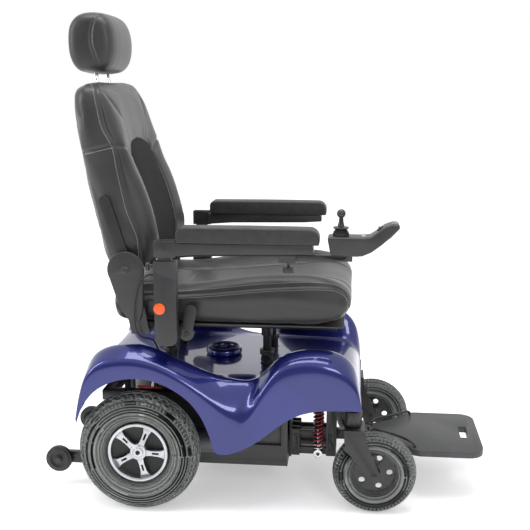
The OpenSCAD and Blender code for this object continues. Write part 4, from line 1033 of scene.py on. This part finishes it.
def stitches(name, piece, routes, pitch=0.0062, length=0.0040, radius=0.0006, lift=0.0003):
    """Rows of thread: one short raised stitch after another along each route."""
    mesh = bmesh.new()
    for route in routes:
        laid = on_surface(piece, route, pitch)
        for (a, normal), (b, _) in zip(laid, laid[1:]):
            along = b - a
            if along.length < pitch * 0.4:
                continue
            along.normalize()
            over = normal.cross(along).normalized()
            middle = (a + b) / 2 + normal * lift
            ends = [mesh.verts.new(middle + along * side * length / 2 - normal * radius) for side in (-1, 1)]
            for_ring = []
            for place in (-0.3, 0.3):
                for turn in range(5):
                    swing = turn * math.tau / 5
                    for_ring.append(mesh.verts.new(
                        middle + along * place * length
                        + (over * math.cos(swing) + normal * math.sin(swing)) * radius))
            for turn in range(5):
                after = (turn + 1) % 5
                mesh.faces.new((for_ring[turn], for_ring[after], for_ring[5 + after], for_ring[5 + turn]))
                mesh.faces.new((ends[0], for_ring[after], for_ring[turn]))
                mesh.faces.new((ends[1], for_ring[5 + turn], for_ring[5 + after]))
    bmesh.ops.recalc_face_normals(mesh, faces=mesh.faces)
    deselect()
    bpy.ops.mesh.primitive_plane_add(size=0.01)
    thread = bpy.context.object
    thread.name = name
    mesh.to_mesh(thread.data)
    mesh.free()
    return settle(thread, 80)


def mirrored(points):
    return [(x, -y, z) for x, y, z in points]


def seat_ring(x, wide, low, seam, crest, dish):
    """The cushion's section across the chair at x, as a closed ring."""
    half = smooth_line([(y, z, 0) for y, z in [
        (0, low), (0.08, low), (0.17, low), (wide - 0.026, low + 0.001), (wide - 0.007, low + 0.016),
        (wide, mix(low, seam, 0.5)), (wide - 0.004, seam - 0.012), (wide - 0.009, seam),
        (wide - 0.018, seam + 0.4 * (crest - seam)), (wide - 0.036, crest), (wide - 0.062, crest - 0.002),
        (wide - 0.095, mix(crest, dish, 0.5)), (wide - 0.122, dish + 0.004), (0.07, dish), (0, dish),
    ]], 3)
    right = [Vector((x - AXLE_BACK, -p.x, p.y)) for p in half]
    left = [Vector((x - AXLE_BACK, p.x, p.y)) for p in reversed(half[1:-1])]
    return right + left


SEAT_SECTIONS = [
    (-0.080, 0.215, 0.575, 0.600, 0.622, 0.618),
    (-0.076, 0.228, 0.560, 0.612, 0.636, 0.630),
    (-0.060, 0.236, 0.552, 0.620, 0.645, 0.636),
    (0.000, 0.240, 0.550, 0.628, 0.650, 0.634),
    (0.110, 0.242, 0.550, 0.634, 0.654, 0.630),
    (0.215, 0.244, 0.550, 0.643, 0.669, 0.636),
    (0.340, 0.245, 0.550, 0.658, 0.686, 0.648),
    (0.460, 0.245, 0.551, 0.667, 0.691, 0.660),
    (0.520, 0.243, 0.553, 0.668, 0.686, 0.664),
    (0.560, 0.238, 0.558, 0.664, 0.674, 0.660),
    (0.586, 0.228, 0.567, 0.648, 0.658, 0.649),
    (0.600, 0.214, 0.582, 0.634, 0.641, 0.636),
    (0.606, 0.196, 0.596, 0.620, 0.626, 0.623),
]
seat_rows = smooth_line([Vector(s[:3]) for s in SEAT_SECTIONS], 3)
seat_rest = smooth_line([Vector(s[3:]) for s in SEAT_SECTIONS], 3)
seat_pad = loft("seat_cover", [seat_ring(a.x, a.y, a.z, *b) for a, b in zip(seat_rows, seat_rest)])


def seat_seam(inset, drop=0.0):
    """The sewn line where the side panel meets the top, over the nose and down it."""
    line = [(x - AXLE_BACK, wide - inset, seam - drop) for x, wide, low, seam, _, _ in SEAT_SECTIONS[1:11]]
    return line + [(0.604 - AXLE_BACK, 0.219, 0.620), (0.604 - AXLE_BACK, 0.216, 0.596)]


def seat_roll(y):
    """The sewn line between the side roll and the dished middle."""
    return [(x - AXLE_BACK, y, dish + 0.004) for x, _, _, _, _, dish in SEAT_SECTIONS[2:]]


remesh(seat_pad, 0.0065)
seat_lines = [seat_seam(0.009), mirrored(seat_seam(0.009)), seat_roll(0.118), mirrored(seat_roll(0.118))]
seat_seams = [[spot for spot, _ in on_surface(seat_pad, line)] for line in seat_lines]
swell(seat_pad, seat_seams, 3.5, 0.006)
relax(seat_pad, 2)
subdivide(seat_pad)
press(seat_pad, seat_seams, 0.009, 0.0035)
seat_pad.name = "seat_cover"
settle(seat_pad, 80)

vinyl = Finish("vinyl_black", (0.016, 0.016, 0.017), 0.42, Specular_IOR_Level=0.5,
               Sheen_Weight=0.12, Sheen_Roughness=0.5)
spot = vinyl.place()
pebble = vinyl.node("TexVoronoi", out="Distance", settings={"feature": "SMOOTH_F1"}, Vector=spot, Scale=700)
wrinkle = vinyl.noise(spot, 0.010, 4, 0.6)
shade = vinyl.noise(spot, 0.12, 3)
vinyl.tint(shade, (0.012, 0.012, 0.013), (0.024, 0.024, 0.025), 0.35, 0.65)
vinyl.feed("Roughness", shade * 0.12 + wrinkle * 0.08 + 0.30)
vinyl.relief(pebble * 0.6 + wrinkle * 0.5, 0.00035, 0.35)
thread_white = Finish("thread_pale", (0.42, 0.42, 0.40), 0.7)
spot = thread_white.place()
thread_white.tint(thread_white.noise(spot, 0.004), (0.32, 0.32, 0.30), (0.5, 0.5, 0.48), 0.3, 0.7)
vinyl.cover(seat_pad)
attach(seat_pad, "seat")
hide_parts("seat_cushion")
seat_rows_of_thread = [seat_seam(0.002, 0.010), seat_seam(0.017, -0.008)]
seat_thread = stitches("seat_stitching", seat_pad, seat_rows_of_thread + [mirrored(r) for r in seat_rows_of_thread])
thread_white.cover(seat_thread)
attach(seat_thread, "seat")


# ---- Back cushion ----------------------------------------------------------
# A tall captain's-chair back in the same vinyl: side rolls, boxed side panels
# with pale stitching, and a black cloth insert under a smooth upper panel.
def back_ring(z, wide, rear, seam, crest, dish):
    half = smooth_line([(x, y, 0) for y, x in [
        (0, rear), (0.08, rear), (0.15, rear + 0.001), (wide - 0.030, rear + 0.004), (wide - 0.008, rear + 0.020),
        (wide, mix(rear, seam, 0.5)), (wide - 0.004, seam - 0.012), (wide - 0.009, seam),
        (wide - 0.019, seam + 0.5 * (crest - seam)), (wide - 0.036, crest), (wide - 0.064, crest - 0.003),
        (wide - 0.092, mix(crest, dish, 0.6)), (0.115, dish + 0.002), (0.06, dish), (0, dish),
    ]], 3)
    right = [Vector((p.x - AXLE_BACK, -p.y, z)) for p in half]
    left = [Vector((p.x - AXLE_BACK, p.y, z)) for p in reversed(half[1:-1])]
    return right + left


BACK_SECTIONS = [
    (0.700, 0.205, -0.072, -0.010, 0.006, 0.002),
    (0.706, 0.222, -0.092, 0.006, 0.026, 0.018),
    (0.722, 0.234, -0.101, 0.012, 0.042, 0.028),
    (0.760, 0.239, -0.108, 0.012, 0.050, 0.032),
    (0.800, 0.240, -0.117, 0.009, 0.050, 0.031),
    (0.872, 0.240, -0.133, -0.018, 0.033, 0.014),
    (0.940, 0.240, -0.147, -0.033, 0.010, -0.008),
    (0.990, 0.240, -0.156, -0.043, -0.012, -0.028),
    (1.050, 0.240, -0.166, -0.054, -0.033, -0.046),
    (1.100, 0.240, -0.173, -0.080, -0.050, -0.060),
    (1.160, 0.238, -0.179, -0.094, -0.070, -0.078),
    (1.195, 0.230, -0.180, -0.102, -0.086, -0.090),
    (1.212, 0.218, -0.174, -0.108, -0.097, -0.100),
    (1.222, 0.200, -0.160, -0.118, -0.109, -0.110),
]
back_rows = smooth_line([Vector(s[:3]) for s in BACK_SECTIONS], 3)
back_rest = smooth_line([Vector(s[3:]) for s in BACK_SECTIONS], 3)
back_pad = loft("back_cover", [back_ring(a.x, a.y, a.z, *b) for a, b in zip(back_rows, back_rest)])
SPLIT_Z = 1.045


def back_seam(inset, forward=0.0):
    line = [(seam - AXLE_BACK + forward, wide - inset, z) for z, wide, _, seam, _, _ in BACK_SECTIONS[1:]]
    return line


INSERT_HALF = 0.128
insert_side = [(dish + 0.006 - AXLE_BACK, INSERT_HALF + 0.012 * math.sin((z - 0.70) / 0.35 * math.pi), z)
               for z, _, _, _, _, dish in BACK_SECTIONS[2:8]] + [(-0.034 - AXLE_BACK, 0.126, 1.015)]
insert_top = [(-0.045 - AXLE_BACK, 0.126 * math.sin(t * math.pi / 2), 1.015 + 0.047 * math.cos(t * math.pi / 2) ** 0.7)
              for t in (-0.999, -0.8, -0.6, -0.3, 0, 0.3, 0.6, 0.8, 0.999)]
side_split = [(-0.166 - AXLE_BACK, 0.232, SPLIT_Z - 0.013), (-0.120 - AXLE_BACK, 0.240, SPLIT_Z - 0.005),
              (-0.054 - AXLE_BACK, 0.233, SPLIT_Z + 0.010)]
roll_split = [(-0.054 - AXLE_BACK, 0.233, SPLIT_Z + 0.010), (-0.033 - AXLE_BACK, 0.200, SPLIT_Z + 0.002),
              (-0.036 - AXLE_BACK, 0.160, SPLIT_Z - 0.012), (-0.038 - AXLE_BACK, 0.126, 1.015)]
remesh(back_pad, 0.0065)
one_side = [back_seam(0.009), insert_side, side_split, roll_split]
back_lines = one_side + [mirrored(line) for line in one_side] + [insert_top]
back_seams = [[spot for spot, _ in on_surface(back_pad, line)] for line in back_lines]
swell(back_pad, back_seams, 3.5, 0.006)
relax(back_pad, 2)
subdivide(back_pad)
press(back_pad, back_seams, 0.009, 0.0035)
settle(back_pad, 80)
vinyl.cover(back_pad)
insert_cloth = Finish("back_cloth", (0.007, 0.007, 0.008), 0.85, Specular_IOR_Level=0.25)
spot = insert_cloth.place()
insert_cloth.tint(insert_cloth.noise(spot, 0.002, 3), (0.005, 0.005, 0.006), (0.014, 0.014, 0.015), 0.3, 0.7)
insert_cloth.relief(insert_cloth.noise(spot, 0.0012, 2), 0.0003, 0.8)
back_pad.data.materials.append(insert_cloth.material)
for polygon in back_pad.data.polygons:
    spot = polygon.center
    crown = 1.015 + 0.047 * math.sqrt(max(0, 1 - (spot.y / 0.126) ** 2))
    if abs(spot.y) < INSERT_HALF and 0.712 < spot.z < crown and polygon.normal.x > 0.35:
        polygon.material_index = 1
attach(back_pad, "back")
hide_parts("back_cushion")
back_thread_lines = [back_seam(0.001, -0.010), [(x, y, z - 0.006) for x, y, z in side_split]]
back_thread = stitches("back_stitching", back_pad, back_thread_lines + [mirrored(r) for r in back_thread_lines])
thread_white.cover(back_thread)
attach(back_thread, "back")


# ---- Headrest --------------------------------------------------------------
# A small rounded pad on two chromed posts, with a curved seam each side
# between its end panel and the face.
def head_ring(y, grow):
    """The pad's outline across the chair at y, drawn in by grow towards its middle."""
    outline = smooth_line([(x - AXLE_BACK, 0, z) for x, z in HEAD_OUTLINE + HEAD_OUTLINE[:3]], 5)
    outline = outline[5:-5 - 5]
    middle = Vector((HEAD_MID[0] - AXLE_BACK, 0, HEAD_MID[1]))
    return [middle + (p - middle) * grow + Vector((0, y, 0)) for p in outline]


HEAD_MID = (-0.153, 1.338)
HEAD_OUTLINE = [(-0.190, 1.254), (-0.150, 1.252), (-0.112, 1.256), (-0.088, 1.285), (-0.080, 1.335),
                (-0.088, 1.385), (-0.110, 1.415), (-0.150, 1.424), (-0.192, 1.416), (-0.218, 1.382),
                (-0.222, 1.320), (-0.212, 1.278)]
HEAD_STATIONS = [(-0.126, 0.52), (-0.124, 0.70), (-0.118, 0.84), (-0.106, 0.93), (-0.085, 0.98), (-0.045, 1.0),
                 (0.0, 1.0), (0.045, 1.0), (0.085, 0.98), (0.106, 0.93), (0.118, 0.84), (0.124, 0.70), (0.126, 0.52)]
head_pad = loft("headrest_cover", [head_ring(y, grow) for y, grow in HEAD_STATIONS])
head_line = [(x - AXLE_BACK, 0.104, z) for x, z in
             ((-0.120, 1.262), (-0.136, 1.300), (-0.146, 1.340), (-0.140, 1.385), (-0.118, 1.412))]
remesh(head_pad, 0.0055)
head_seams = [[spot for spot, _ in on_surface(head_pad, line)] for line in (head_line, mirrored(head_line))]
swell(head_pad, head_seams, 3.0, 0.003)
relax(head_pad, 2)
subdivide(head_pad)
press(head_pad, head_seams, 0.008, 0.003)
settle(head_pad, 80)
vinyl.cover(head_pad)
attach(head_pad, "headrest")
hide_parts("headrest_pad")
